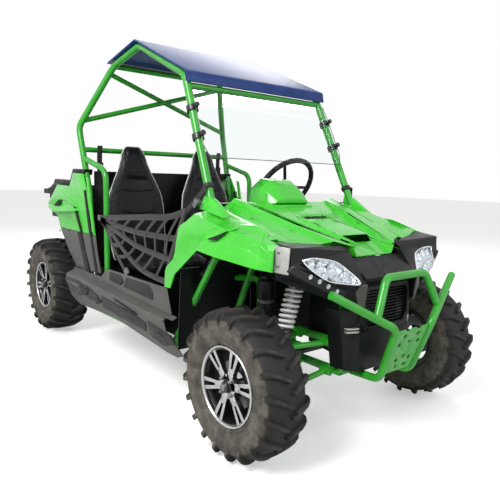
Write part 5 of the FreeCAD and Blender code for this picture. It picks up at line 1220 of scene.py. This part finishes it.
bm = bmesh.new()
rings = []
for x, half, low, middle, top in COWL_STATIONS:
    right_half = [(x, -half, low), (x, -half * 0.9, middle), (x, -half * 0.5, top)]
    rings.append(right_half + [(x, -y, z) for x, y, z in right_half[::-1]])
loft_rings(bm, rings)
prism(bm, COWL_LIP, "Y", -104, 104)
finished("gauge_cowl", bm, green_abs, (3.0, 3, 12), split=True, nodes="cowl", edge_deg=40)

bm = bmesh.new()
rings = []
for x, share in GAUGE_STEPS:
    rings.append([(x, y, z) for y, z in scaled(GAUGE_SECTION, share, GAUGE_CENTRE)])
loft_rings(bm, rings)
finished("gauge_frame", bm, black_pp, (2.0, 2))

# A black plate behind the scoop's opening: painted shade for the dark inside it.
bm = bmesh.new()
prism(bm, SCOOP_MOUTH, "X", 966, 972)
finished("scoop_mesh", bm, black_pp, (0.8, 2))

# %% [markdown]
# A headlight is a bright bowl behind a clear cover. The pod's face is two flat triangles,
# so one function finds the face at any height and width. The bezel and the bowl follow
# that face, and each lamp in the bowl is a small dish with a domed lens.
# %% Headlights
FACE = [
    pod_corner(POD_INNER, POD_IN_Y, 1), pod_corner(POD_INNER, POD_IN_Y, 2),
    pod_corner(POD_OUTER, POD_OUT_Y, 2), pod_corner(POD_OUTER, POD_OUT_Y, 1),
]
# The bowl and the cover as (share of the lamp's outline, how far in front of the face).
BOWL_STEPS = (
    (0.97, -24.0), (0.97, 0.5), (1.03, 1.0), (1.02, 6.0), (0.96, 8.0), (0.92, 6.0), (0.90, -4.0),
    (0.87, -13.0), (0.6, -17.0),
)
COVER_STEPS = ((0.93, 2.0), (0.93, 5.0), (0.88, 7.5), (0.7, 9.5), (0.3, 10.5))
# Each lamp in the bowl as y, z and its radius.
DISHES = ((345, 688, 15), (306, 686, 18), (262, 676, 19), (219, 650, 17), (312, 652, 14), (268, 639, 15))
DISH_STEPS = ((0.9, 0), (1.0, 5), (1.0, 10), (0.86, 10), (0.5, 3), (0.45, 6), (0.2, 9))
DISH_DEPTH = 14


def face_x(y, z):
    """How far forward the pod's front face is, at that width and height."""
    brow_in, cheek_in, cheek_out, brow_out = FACE
    across = cheek_out - brow_in
    above = z - brow_in.z - across.z * (y - brow_in.y) / across.y
    corners = (cheek_out, brow_out) if above > 0 else (cheek_in, cheek_out)
    normal = (corners[0] - brow_in).cross(corners[1] - brow_in)
    return brow_in.x - (normal.y * (y - brow_in.y) + normal.z * (z - brow_in.z)) / normal.x


def lamp_rings(steps):
    rings = []
    for share, out in steps:
        rings.append([(face_x(y, z) + out, y, z) for y, z in scaled(soft_lamp, share, LAMP_CENTRE)])
    return rings


bm = bmesh.new()
loft_rings(bm, lamp_rings(BOWL_STEPS))
finished("headlight_bowls", bm, chromed, (0.6, 2), twin=True, split=True, slot="lamp_lens", edge_deg=35)

bm = bmesh.new()
loft_rings(bm, lamp_rings(COVER_STEPS))
finished("headlight_covers", bm, lamp_cover, twin=True, split=True, nodes="front_lamps", edge_deg=60)

bm = bmesh.new()
for y, z, radius in DISHES:
    profile = [(radius * share, out) for share, out in DISH_STEPS]
    turned(bm, (face_x(y, z) - DISH_DEPTH, y, z), (1, 0.12, -0.05), profile)
finished("lamp_dishes", bm, chromed, (0.5, 2), twin=True, slot="lamp_lens")

# %% Running lights and the plates on the mask
LIP_INNER = [pod_corner(POD_INNER, POD_IN_Y, index) for index in (2, 3)]
LIP_OUTER = [pod_corner(POD_OUTER, POD_OUT_Y, index) for index in (2, 3)]
# Outlines on the pod's lower lip as (share outwards, share downwards).
HOUSING = [(1.0, -0.1), (1.04, 0.75), (0.9, 0.95), (0.32, 1.12), (0.26, 0.62), (0.86, 0.14)]
LIGHT_COVER = [(0.84, 0.30), (0.85, 0.60), (0.37, 0.94), (0.34, 0.68)]
INNER_PLATE = [(0.0, -0.05), (0.1, 0.08), (0.145, 0.5), (0.06, 1.2), (0.0, 1.2)]
SMALL_LAMPS = [(0.42 + index * 0.12, 0.78 - index * 0.115) for index in range(4)]
SMALL_LAMP_STEPS = ((7.5, 0), (8.5, 4), (8.5, 7), (6, 7.5), (3, 5), (2, 8))


def lip(share_out, share_down, stand):
    """A place on the slanted lower lip of the pod, a little in front of it."""
    inner = LIP_INNER[0].lerp(LIP_INNER[1], share_down)
    outer = LIP_OUTER[0].lerp(LIP_OUTER[1], share_down)
    return inner.lerp(outer, share_out) + Vector((stand, 0, 0))


def lip_plate(name, corners, low, high, chamfer, finish, ease_mm, slot=None):
    """A plate that follows the lip, its front edge drawn in by the chamfer's share."""
    bm = bmesh.new()
    centre = [sum(shares) / len(corners) for shares in zip(*corners)]
    front = scaled(corners, chamfer, centre)
    rings = []
    for ring, stand in ((corners, low), (corners, (low + high) / 2), (front, high)):
        rings.append([lip(out, down, stand) for out, down in ring])
    loft_rings(bm, rings)
    finished(name, bm, finish, (ease_mm, 2), twin=True, slot=slot)


lip_plate("running_light_housings", HOUSING, -4, 11, 0.94, slate_pp, 2.5)
lip_plate("running_light_covers", LIGHT_COVER, 9, 16, 0.95, lamp_cover, 1.0, "lamp_lens")
bm = bmesh.new()
for out, down in SMALL_LAMPS:
    turned(bm, lip(out, down, 8), (1, 0.2, -0.2), SMALL_LAMP_STEPS, 16)
finished("running_lamps", bm, chromed, twin=True, slot="lamp_lens")
lip_plate("mask_inner_plates", INNER_PLATE, -3, 5, 0.93, grey_pp, 1.5)

# %% [markdown]
# Behind the grille stands the radiator: close rows of thin fins, which read as a dark mass
# from in front. Geometry Nodes set the fins side by side.
# %% Radiator
FIN_COUNT = 50
FIN_PITCH = 5.0
FIN = rectangle(1100, 1122, -124, -122.4)
RADIATOR_CORE = rectangle(1080, 1104, -132, 132)


def row_tree(finish):
    """Copies of the piece's own mesh in a straight row."""
    tree, given = new_tree("row of fins", Count="Int", Pitch="Vector")
    row = add(tree, "GeometryNodeMeshLine", {"Count": given["Count"], "Offset": given["Pitch"]})
    inputs = {"Points": row.outputs[0], "Instance": given["Geometry"]}
    copies = add(tree, "GeometryNodeInstanceOnPoints", inputs)
    return end_tree(tree, copies.outputs[0], finish)


bm = bmesh.new()
prism(bm, FIN, "Z", 440, 592)
fins = placed("radiator_fins", to_mesh("fin", bm))
fins = grown(fins, row_tree(black_coat), Count=FIN_COUNT, Pitch=(0, FIN_PITCH * MM, 0))
shown(fins, black_coat)
bm = bmesh.new()
prism(bm, RADIATOR_CORE, "Z", 432, 598)
finished("radiator_core", bm, black_coat, (2.0, 2))

# %% Fascia stripes and grille surround
STRIPE_IN_Y, STRIPE_OUT_Y = 146, 184
STRIPE_LOWS = (432, 444)
STRIPE_TALL = 7
FASCIA_FACE = [(0, FASCIA_X), (FASCIA_BEND_Y, FASCIA_X), (200, 1120)]
SURROUND_OUTER = [
    (-146, 470), (-118, 430), (118, 430), (146, 470), (146, 566), (124, 604), (-124, 604), (-146, 566),
]
SURROUND_INNER = [
    (-126, 478), (-106, 450), (106, 450), (126, 478), (126, 560), (110, 586), (-110, 586), (-126, 560),
]
SURROUND_BACK_X, SURROUND_FRONT_X = 1153, 1166
stripe_in_x, stripe_out_x = (line(y, FASCIA_FACE) for y in (STRIPE_IN_Y, STRIPE_OUT_Y))

bm = bmesh.new()
stripe = [
    (stripe_out_x - 6, STRIPE_OUT_Y + 6), (stripe_out_x + 7, STRIPE_OUT_Y + 4),
    (stripe_in_x + 7, STRIPE_IN_Y), (stripe_in_x - 6, STRIPE_IN_Y),
]
for low in STRIPE_LOWS:
    prism(bm, stripe, "Z", low, low + STRIPE_TALL)
finished("fascia_stripes", bm, plate_alu, (1.2, 2), twin=True)

bm = bmesh.new()
loop_rings(bm, [
    [(SURROUND_BACK_X, y, z) for y, z in SURROUND_OUTER],
    [(SURROUND_FRONT_X, y, z) for y, z in scaled(SURROUND_OUTER, 0.97, (0, 517))],
    [(SURROUND_FRONT_X, y, z) for y, z in SURROUND_INNER],
    [(SURROUND_BACK_X, y, z) for y, z in SURROUND_INNER],
])
finished("grille_surround", bm, black_pp, (2.0, 3))

# %% [markdown]
# Bolts hold the plates and the panels. Each is a button head with a hexagon socket, which
# is too small to show, so the socket is round.
# %% Bolts
BUTTON_STEPS = ((5.5, 0), (5.5, 1.5), (4.6, 3.2), (2.8, 3.8), (2.6, 1.5))
PLATE_BOLTS = ((1045, 448.6, 731), (1043, 449, 684))
PANEL_BOLTS = ((-800, 503, 640), (-668, 500, 652), (-330, 501, 690))


def bolts(name, places, aim, finish):
    """Button-head bolts on the left, and their twins."""
    bm = bmesh.new()
    for place in places:
        turned(bm, place, aim, BUTTON_STEPS, 14)
    finished(name, bm, finish, twin=True, edge_deg=30, slot="steel_parts")


bolts("plate_bolts", PLATE_BOLTS, (0.24, 1, 0), steel)
bolts("panel_bolts", PANEL_BOLTS, (0, 1, 0), black_coat)

# %% [markdown]
# A coil spring is one round wire wound about the damper. A spiral curve with a circle
# swept along it gives just that, and the same tree makes all four springs.
# %% Springs
# Each left-hand shock as its top and its foot.
SHOCKS = (((951, 262, 612.2), (951, 330, 396)), ((-652, 215, 662.4), (-850, 215, 345)))
# Where the coil starts and ends on the shock, as (share of its run, mm further).
COIL_ENDS = ((0.10, 12.4), (0.86, -5.8))
COIL_TURNS = 8.0
COIL_RADIUS, WIRE_RADIUS = 28.0, 5.8
SPRING_SEAT_STEPS = ((33, -1), (36, 0), (37, 6), (34, 9), (25, 10))


def spring_tree(finish):
    """A round wire wound into a coil that stands on the origin."""
    names = {"Turns": "Float", "Coil_radius": "Float", "Wire_radius": "Float", "Height": "Float"}
    tree, given = new_tree("coil spring", **names)
    inputs = {
        "Resolution": 28, "Rotations": given["Turns"], "Start Radius": given["Coil radius"],
        "End Radius": given["Coil radius"], "Height": given["Height"],
    }
    path = add(tree, "GeometryNodeCurveSpiral", inputs)
    inputs = {"Resolution": 12, "Radius": given["Wire radius"]}
    wire = add(tree, "GeometryNodeCurvePrimitiveCircle", inputs)
    inputs = {"Curve": path.outputs[0], "Profile Curve": wire.outputs[0], "Fill Caps": True}
    swept = add(tree, "GeometryNodeCurveToMesh", inputs)
    return end_tree(tree, swept.outputs[0], finish)


coil_tree = spring_tree(white_coat)
bm = bmesh.new()
caps = bmesh.new()
for top, foot in SHOCKS:
    top, foot = Vector(top), Vector(foot)
    run = foot - top
    first, last = (top + run * (share + further / run.length) for share, further in COIL_ENDS)
    wound = last - first
    sizes = {"Coil_radius": COIL_RADIUS * MM, "Wire_radius": WIRE_RADIUS * MM, "Height": wound.length * MM}
    coil = grown(placed("coil", bpy.data.meshes.new("coil")), coil_tree, Turns=COIL_TURNS, **sizes)
    facing = wound.to_track_quat("Z", "Y").to_matrix().to_4x4()
    coil.data.transform(Matrix.Translation(first * MM) @ facing)
    pour(bm, coil)
    turned(caps, first, -wound, SPRING_SEAT_STEPS, 32)
    turned(caps, last, wound, SPRING_SEAT_STEPS, 32)
finished("spring_wires", bm, white_coat, twin=True, nodes="coils", edge_deg=60)
finished("spring_seats", caps, black_coat, (0.8, 2), twin=True)

# %% [markdown]
# Webbing is a flat ribbon. Each strap follows a smooth line through a few measured
# places, and stands a little in front of or behind the straps that it crosses.
# %% Straps of the side nets
SIDEWAYS = (0, 1, 0)
NET_Y = 486.0
# The straps of the left net, as (x, z): all of them start where they are gathered.
GATHER = (-279, 752)
RAYS = [
    [GATHER, (-60, 770), (199, 790), (400, 806), (537, 838)],
    [GATHER, (-130, 732), (104, 716), (300, 716), (470, 720)],
    [GATHER, (-110, 706), (104, 655), (280, 636), (425, 626)],
    [GATHER, (-130, 680), (30, 596), (180, 545), (385, 525)],
]
FOOT_STRAP = [GATHER, (-190, 690), (-106, 600), (27, 500)]
CROSSING_SHARES = (0.24, 0.37, 0.50, 0.63, 0.76, 0.89)
RISER = [(537, 486, 838), (570, 468, 880), (590, 445, 920), (597, 437, 944)]
WEAVE = 2.2
# Straps as (width, thickness).
RAY_SIZE, FOOT_SIZE, CROSSING_SIZE, HEM_SIZE, RISER_SIZE = (26, 3), (22, 3), (17, 2.4), (24, 2.6), (24, 3)


def smooth_line(places, steps=8):
    """A Catmull-Rom line through the places."""
    places = [Vector(place) for place in places]
    padded = [places[0] * 2 - places[1]] + places + [places[-1] * 2 - places[-2]]
    path = []
    for a, b, c, d in zip(padded, padded[1:], padded[2:], padded[3:]):
        square = 2 * a - 5 * b + 4 * c - d
        cube = 3 * b - a - 3 * c + d
        for step in range(steps):
            t = step / steps
            path.append(0.5 * (2 * b + (c - a) * t + square * t * t + cube * t ** 3))
    return path + [places[-1]]


def strap(bm, points, size, outward):
    """A ribbon along the points, its face turned to the outward direction."""
    width, thick = size
    outward = Vector(outward).normalized()
    rings = []
    for index, place in enumerate(points):
        run = (points[min(index + 1, len(points) - 1)] - points[max(index - 1, 0)]).normalized()
        across = run.cross(outward).normalized() * width / 2
        up = across.cross(run).normalized() * thick / 2
        edge = across * 0.86
        rings.append([
            place - across, place - edge + up, place + edge + up, place + across, place + edge - up,
            place - edge - up,
        ])
    loft_rings(bm, rings)


def point_at(points, share):
    """The point nearest to that share of the line."""
    return points[int(share * (len(points) - 1) + 0.5)]


def net_line(places):
    return smooth_line([(x, NET_Y, z) for x, z in places], 12)


bm = bmesh.new()
rays = [net_line(places) for places in RAYS]
foot_line = net_line(FOOT_STRAP)
for ray in rays:
    strap(bm, ray, RAY_SIZE, SIDEWAYS)
strap(bm, foot_line, FOOT_SIZE, SIDEWAYS)
for share in CROSSING_SHARES:
    crossed = [point_at(ray, share) for ray in rays]
    # The foot strap is shorter, so only the first crossings reach it.
    if share < 0.6:
        crossed.append(point_at(foot_line, min(share * 1.5, 0.9)))
    woven = [place + Vector((0, WEAVE if step % 2 else -WEAVE, 0)) for step, place in enumerate(crossed)]
    strap(bm, smooth_line(woven, 6), CROSSING_SIZE, SIDEWAYS)
hem = [ray[-1] + Vector((-6, 2.0, 0)) for ray in rays]
strap(bm, smooth_line(hem, 8), HEM_SIZE, SIDEWAYS)
strap(bm, smooth_line(RISER, 8), RISER_SIZE, (0.1, 1, 0.1))
finished("side_net_straps", bm, webbing, twin=True, nodes="side_nets", edge_deg=40)

# %% Buckles of the nets and collars of the pillars
# Each buckle as its outline and the two sides it lies between.
BUCKLES = (
    ([(560, 862), (583, 893), (602, 880), (578, 850)], 458, 476),
    ([(-2, 520), (24, 538), (42, 512), (18, 494)], 482, 494),
    ([(-300, 742), (-268, 738), (-262, 766), (-296, 768)], 474, 492),
)
PILLAR_FOOT, PILLAR_HEAD = Vector((700, 428, 690)), Vector((366, 389, 1402))
# The collar as (radius, share of the pillar's run).
COLLAR_STEPS = ((19.5, 0.335), (22.5, 0.339), (22.5, 0.358), (19.5, 0.362))

bm = bmesh.new()
for outline, low, high in BUCKLES:
    prism(bm, outline, "Y", low, high)
finished("net_buckles", bm, steel, (2.0, 2), twin=True, slot="steel_parts")

bm = bmesh.new()
run = PILLAR_HEAD - PILLAR_FOOT
turned(bm, PILLAR_FOOT, run, [(radius, share * run.length) for radius, share in COLLAR_STEPS], 28)
finished("pillar_collars", bm, grip_pu, twin=True, slot="black_plastic")

# %% [markdown]
# A bucket seat is foam under tight vinyl. The sewn cover pulls in at its edges and the
# foam swells between them. So each cushion starts a little small and is blown up as
# cloth under pressure, and its seams are pressed in afterwards.
# %% Seat forms
SEAT_MIDDLE = 232.0
SOFT_SHRINK = 9.0
SEAT_LOW = 470.5
SEAT_CORNERS = 48
HOLLOW = 12.0
BACK_RISE, BACK_STEPS = 679, 28
BACK_HALF = [
    (470, 160), (560, 178), (640, 188), (800, 188), (870, 178), (930, 152), (990, 122), (1050, 98),
    (1100, 82), (1130, 70), (1150, 48),
]
BACK_FRONT = [(470, -294), (640, -316), (900, -352), (1150, -392)]
BACK_REAR = [(470, -385), (640, -392), (900, -412), (1150, -434)]
HOLLOW_TOP = 960
CUSHION_REAR, CUSHION_LENGTH, CUSHION_STEPS = -291, 410, 20
CUSHION_HALF = 188
CUSHION_TOPS = [(-290, 556), (-200, 566), (-60, 580), (60, 588), (100, 580), (118, 545)]


def squircle(half_a, half_b):
    """A ring between an ellipse and a rectangle."""
    places = []
    for step in range(SEAT_CORNERS):
        turn = 2 * math.pi * step / SEAT_CORNERS
        c, s = math.cos(turn), math.sin(turn)
        places.append((math.copysign(abs(c) ** 0.5, c) * half_a, math.copysign(abs(s) ** 0.5, s) * half_b))
    return places


def pinch_of(step, last, at_end, beside):
    """How far a ring is drawn in, so that the form closes softly at both ends."""
    from_end = min(step, last - step)
    return (at_end, beside)[from_end] if from_end < 2 else 1.0


def hollow_of(y, half):
    """How deep the seat's middle lies at that width."""
    return HOLLOW * max(1 - (y / (half * 0.7)) ** 2, 0)


def back_form():
    rings = []
    for step in range(BACK_STEPS + 1):
        z = SEAT_LOW + SOFT_SHRINK + (BACK_RISE - 2 * SOFT_SHRINK) * step / BACK_STEPS
        pinch = pinch_of(step, BACK_STEPS, 0.82, 0.94)
        half = (line(z, BACK_HALF) - SOFT_SHRINK) * pinch
        front, rear = line(z, BACK_FRONT) - SOFT_SHRINK, line(z, BACK_REAR) + SOFT_SHRINK
        ring = []
        for y, depth in squircle(half, (front - rear) / 2 * pinch):
            hollow = hollow_of(y, half) if depth > 0 and z < HOLLOW_TOP else 0
            ring.append(((front + rear) / 2 + depth - hollow, y, z))
        rings.append(ring)
    return rings


def cushion_form():
    rings = []
    for step in range(CUSHION_STEPS + 1):
        x = CUSHION_REAR + SOFT_SHRINK + (CUSHION_LENGTH - 2 * SOFT_SHRINK) * step / CUSHION_STEPS
        pinch = pinch_of(step, CUSHION_STEPS, 0.86, 0.95)
        half = (CUSHION_HALF - SOFT_SHRINK) * pinch
        top = line(x, CUSHION_TOPS) - SOFT_SHRINK
        low = SEAT_LOW + SOFT_SHRINK + max(x - 60, 0) * 0.35
        ring = []
        for y, rise in squircle(half, (top - low) / 2 * pinch):
            hollow = hollow_of(y, half) if rise > 0 else 0
            ring.append((x, y, (top + low) / 2 + rise - hollow))
        rings.append(ring)
    return rings


# %% Foam that swells under the cover
VOXEL = 6.5
SWELL_CAP = 10.0
LAST_FRAME = 20


def remeshed(made):
    voxels = made.modifiers.new("voxels", "REMESH")
    voxels.mode = "VOXEL"
    voxels.voxel_size = VOXEL * MM
    return settled(made)


def swollen(made):
    """Blows the mesh up as cloth under pressure, and caps how far each point may move."""
    start = [vert.co.copy() for vert in made.data.vertices]
    cloth = made.modifiers.new("cloth", "CLOTH")
    cloth.settings.use_pressure = True
    cloth.settings.uniform_pressure_force = 4.0
    cloth.settings.effector_weights.gravity = 0
    cloth.settings.quality = 4
    scene = bpy.context.scene
    for frame in range(1, LAST_FRAME + 1):
        scene.frame_set(frame)
    settled(made)
    scene.frame_set(1)
    for vert, before in zip(made.data.vertices, start):
        moved = vert.co - before
        if moved.length > SWELL_CAP * MM:
            vert.co = before + moved.normalized() * SWELL_CAP * MM
    return made


def finer(made):
    smooth = made.modifiers.new("finer", "SUBSURF")
    smooth.levels = smooth.render_levels = 1
    return settled(made)


# %% Seams
SEAM_DEPTH, SEAM_REACH = 3.0, 5.0
FAR_OFF = 99
BACK_CHANNELS = (640, 760, 880, 985)
CUSHION_CHANNELS = (-190, -90, 10)
CUSHION_SEAM_Y = 106


def back_seam(place):
    """How far a place on the seat's back is from its two upright seams and four channels."""
    if place.x <= line(place.z, BACK_REAR) + 30:
        return FAR_OFF
    side = abs(place.y)
    near = abs(side - line(place.z, BACK_HALF) * 0.56)
    for level in BACK_CHANNELS:
        beyond = max(side - line(level, BACK_HALF) * 0.56, 0)
        near = min(near, math.hypot(place.z - level - side * 0.12, beyond))
    return near


def cushion_seam(place):
    """How far a place on the cushion is from its two long seams and three channels."""
    if place.z <= 520:
        return FAR_OFF
    side = abs(place.y)
    near = abs(side - CUSHION_SEAM_Y)
    for level in CUSHION_CHANNELS:
        near = min(near, math.hypot(place.x - level, max(side - CUSHION_SEAM_Y, 0)))
    return near


def grooved(made, seam):
    """Presses the surface in, along its own normal, near any seam."""
    made.data.update()
    shifts = []
    for vert in made.data.vertices:
        near = seam(vert.co / MM)
        shifts.append(vert.normal * (-SEAM_DEPTH * MM * math.exp(-(near / SEAM_REACH) ** 2)))
    for vert, shift in zip(made.data.vertices, shifts):
        vert.co += shift
    return made


# %% Seats and their piping
PIPING_RADIUS = 3.2
PIPING_STAND = 0.6
# How far the piping lies from the front and the side of the back, and below the cushion's top.
FRONT_INSET, SIDE_INSET, TOP_INSET = 22, 3, 14


def back_edge():
    """Up the left edge of the back, over its head and down the right edge."""
    path = []
    for z in range(500, 1136, 12):
        path.append((line(z, BACK_FRONT) - FRONT_INSET, line(z, BACK_HALF) - SIDE_INSET, z))
    path += [(line(1146, BACK_FRONT) - FRONT_INSET, y, 1147) for y in range(44, -45, -11)]
    for z in range(1130, 499, -12):
        path.append((line(z, BACK_FRONT) - FRONT_INSET, SIDE_INSET - line(z, BACK_HALF), z))
    return path


def cushion_edge():
    """Along the left edge of the cushion, across its front and back along the right edge."""
    path = [(x, 184, line(x, CUSHION_TOPS) - TOP_INSET) for x in range(-280, 111, 12)]
    path += [(117, y, 566) for y in range(176, -177, -16)]
    path += [(x, -184, line(x, CUSHION_TOPS) - TOP_INSET) for x in range(104, -281, -12)]
    return path


def seat_mesh(name, rings):
    bm = bmesh.new()
    loft_rings(bm, rings)
    return to_mesh(name, bm)


def piping_on(mesh, places):
    """A cord that lies on the mesh along the places."""
    surface = bmesh.new()
    surface.from_mesh(mesh)
    tree = BVHTree.FromBMesh(surface)
    surface.free()
    points = []
    for place in places:
        hit, normal = tree.find_nearest(Vector(place) * MM)[:2]
        points.append(hit / MM + normal * PIPING_STAND)
    bm = bmesh.new()
    tube(bm, points, PIPING_RADIUS)
    return to_mesh("piping", bm)


def aside(name, mesh, y):
    """A copy of a mesh, moved sideways onto its seat."""
    shape = mesh.copy()
    shape.transform(Matrix.Translation((0, y * MM, 0)))
    return placed(name, shape)


seat_parts = (
    ("seat_back", back_form(), back_seam, back_edge(), white_piping),
    ("seat_cushion", cushion_form(), cushion_seam, cushion_edge(), vinyl),
)
for part, rings, seam, edge, piping in seat_parts:
    pad = grooved(swollen(remeshed(placed(part, seat_mesh(part, rings)))), seam)
    cord = piping_on(pad.data, edge)
    pad = finer(pad)
    for side, middle in (("left", SEAT_MIDDLE), ("right", -SEAT_MIDDLE)):
        whole = aside(f"{part}_{side}", pad.data, middle)
        shown(whole, vinyl, nodes="seats", edge_deg=60)
        shown(aside(f"{part}_piping_{side}", cord, middle), piping, slot="seat_vinyl", edge_deg=60)
    bpy.data.objects.remove(pad)

# %% [markdown]
# Behind and below the skins there is a lot that is only half seen: the load bed, the belts,
# the reservoir in the wheel arch, and the black duct behind the grille. Black walls further
# back in the nose are painted shade.
# %% Load bed and belts
BED_HALF, BED_WALL = 436, 5
BED_OUTER = rectangle(-1120, -500, 705, 904)
BED_INNER = rectangle(-1115, -505, 711, 950)
BED_RIB = [(0, 706), (36, 706), (30, 717), (6, 717)]
BED_RIB_STARTS = range(-1095, -520, 72)
BED_RIB_HALF = 425
BELT_LINE = [(-466, 398, 1130), (-474, 398, 1080), (-474, 398, 1010), (-471, 396, 800), (-471, 394, 476)]
BELT_SIZE = (30, 2.4)
BELT_SLIDER = rectangle(-477, -462, 990, 1040)

tray = block(BED_OUTER, "Y", -BED_HALF, BED_HALF)
inside = block(BED_INNER, "Y", -BED_HALF + BED_WALL, BED_HALF - BED_WALL)
bm = bmesh.new()
pour(bm, trimmed(tray, "DIFFERENCE", inside))
for start in BED_RIB_STARTS:
    prism(bm, [(start + x, z) for x, z in BED_RIB], "Y", -BED_RIB_HALF, BED_RIB_HALF)
finished("cargo_bed", bm, black_pp, (2.0, 2), nodes="cargo_tray")

bm = bmesh.new()
strap(bm, smooth_line(BELT_LINE, 6), BELT_SIZE, (1, 0, 0))
prism(bm, BELT_SLIDER, "Y", 382, 412)
finished("shoulder_belts", bm, webbing, twin=True, nodes="seat_belts", edge_deg=40)

# %% Reservoir, arch tubes, duct and walls of painted shade
RESERVOIR_FOOT = (822, 300, 444)
# The reservoir as (radius, height over its foot), with a grey band between two heights.
RESERVOIR_STEPS = (
    (30, -1), (34, 0), (34, 60), (31, 62), (31, 70), (35, 72), (35, 142), (31, 148), (22, 150),
    (22, 160), (12, 162),
)
BAND_LOW, BAND_TOP = 503, 517
RESERVOIR_SHELF = rectangle(790, 854, 440, 446)
ARCH_RADIUS = 13
ARCH_LINE = [
    (500, 262, 548), (600, 262, 560), (700, 262, 572), (735, 262, 560), (742, 262, 520), (742, 262, 290),
]
DUCT = [(880, 330), (1080, 300), (1080, 590), (880, 560)]
DUCT_HALF = 118
# Black walls deep in the nose: painted shade for the dark inside it.
NOSE_SHADE_WALLS = [rectangle(x, x + 8, 300, 600) for x in (600, 660, 720)]
SHADE_WALL_HALF = 250

bm = bmesh.new()
turned(bm, RESERVOIR_FOOT, (0, 0, 1), RESERVOIR_STEPS, 40)
prism(bm, RESERVOIR_SHELF, "Y", 262, 334)
reservoirs = finished("reservoirs", bm, [black_pp, grey_pp], (1.0, 2), twin=True)
for polygon in reservoirs.data.polygons:
    polygon.material_index = 1 if BAND_LOW < polygon.center.z / MM < BAND_TOP else 0

bm = bmesh.new()
tube(bm, smooth_line(ARCH_LINE, 8), ARCH_RADIUS, 20)
finished("arch_tubes", bm, green_coat, twin=True, slot="green_tube")

bm = bmesh.new()
prism(bm, DUCT, "Y", -DUCT_HALF, DUCT_HALF)
for wall in NOSE_SHADE_WALLS:
    prism(bm, wall, "Y", -SHADE_WALL_HALF, SHADE_WALL_HALF)
finished("nose_duct", bm, black_pp, (4.0, 2))

# %% [markdown]
# A clear screen shows itself by its edges, where light gathers in the cut plastic and in
# the fold. So a thin grey line runs along each sharp edge of the frame's own sheet.
# %% Edges of the screen
EDGE_LEAST_DEG = 12.0
EDGE_LEAST_LENGTH = 12.0
EDGE_RADIUS = 0.8
source = node_copy("windshield")
bm = bmesh.new()
for edge in source.edges:
    ends = [vert.co / MM for vert in edge.verts]
    if edge_turn(edge) > EDGE_LEAST_DEG and (ends[1] - ends[0]).length > EDGE_LEAST_LENGTH:
        tube(bm, ends, EDGE_RADIUS, 6)
source.free()
finished("screen_edges", bm, grey_pp, slot="clear_screen")

# %% [markdown]
# The studio is one pale floor under soft lamps. The world is white to the camera and to
# reflections, but lights the vehicle at a plain level, so that the colours stay true.
# %% Floor
FLOOR_HALF = 30.0
FLOOR_GLOW = 0.45
floor_mesh = bpy.data.meshes.new("floor")
floor_corners = [(x, y, 0) for x, y in rectangle(-FLOOR_HALF, FLOOR_HALF, -FLOOR_HALF, FLOOR_HALF)]
floor_mesh.from_pydata(floor_corners, [], [(0, 1, 2, 3)])
floor = placed("floor", floor_mesh)
values = {"Base Color": colour("#f4f4f2"), "Roughness": 0.9, "Emission Color": (1, 1, 1, 1)}
floor_paint, tree, sockets, place = start_material("pale floor paint", values)
ray = add(tree, "ShaderNodeLightPath")
inputs = {0: ray.outputs["Is Camera Ray"], 1: ray.outputs["Is Transmission Ray"]}
seen = add(tree, "ShaderNodeMath", inputs, operation="MAXIMUM")
inputs = {0: seen.outputs[0], 1: FLOOR_GLOW}
add(tree, "ShaderNodeMath", inputs, to=sockets["Emission Strength"], operation="MULTIPLY")
floor_mesh.materials.append(floor_paint)
floor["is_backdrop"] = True

# %% World
WORLD_LIGHT, WORLD_SEEN = 0.36, 1.0
world = bpy.data.worlds.new("studio")
bpy.context.scene.world = world
world.use_nodes = True
tree = world.node_tree
background = tree.nodes["Background"]
background.inputs["Color"].default_value = (1, 1, 1, 1)
ray = add(tree, "ShaderNodeLightPath")
inputs = {0: ray.outputs["Is Camera Ray"], 1: ray.outputs["Is Transmission Ray"]}
seen = add(tree, "ShaderNodeMath", inputs, operation="MAXIMUM")
inputs = {0: seen.outputs[0], 1: ray.outputs["Is Glossy Ray"]}
seen = add(tree, "ShaderNodeMath", inputs, operation="MAXIMUM")
inputs = {"Value": seen.outputs[0], "To Min": WORLD_LIGHT, "To Max": WORLD_SEEN}
add(tree, "ShaderNodeMapRange", inputs, to=background.inputs["Strength"])

# %% Lamps
MIDDLE = Vector((0, 0, 0.7))


def lamp(name, place, size, power):
    """A square soft lamp that faces the middle of the vehicle."""
    data = bpy.data.lights.new(name, "AREA")
    data.size = size
    data.energy = power
    facing = (MIDDLE - Vector(place)).to_track_quat("-Z", "Y")
    made = placed(name, data)
    made.matrix_world = Matrix.Translation(place) @ facing.to_matrix().to_4x4()


lamp("key lamp", (1.5, -4.2, 4.2), 2.0, 250)
lamp("front lamp", (5.0, 1.5, 3.0), 3.0, 60)
lamp("back lamp", (-4.5, 3.5, 3.5), 3.0, 110)

# %% Sizes, and the end of the lesson
new_low, new_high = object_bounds()
sizes = {"cad": [list(cad_low), list(cad_high)], "visual": [list(new_low), list(new_high)]}
print("visual box in mm:", [round(length / MM) for length in new_high - new_low])
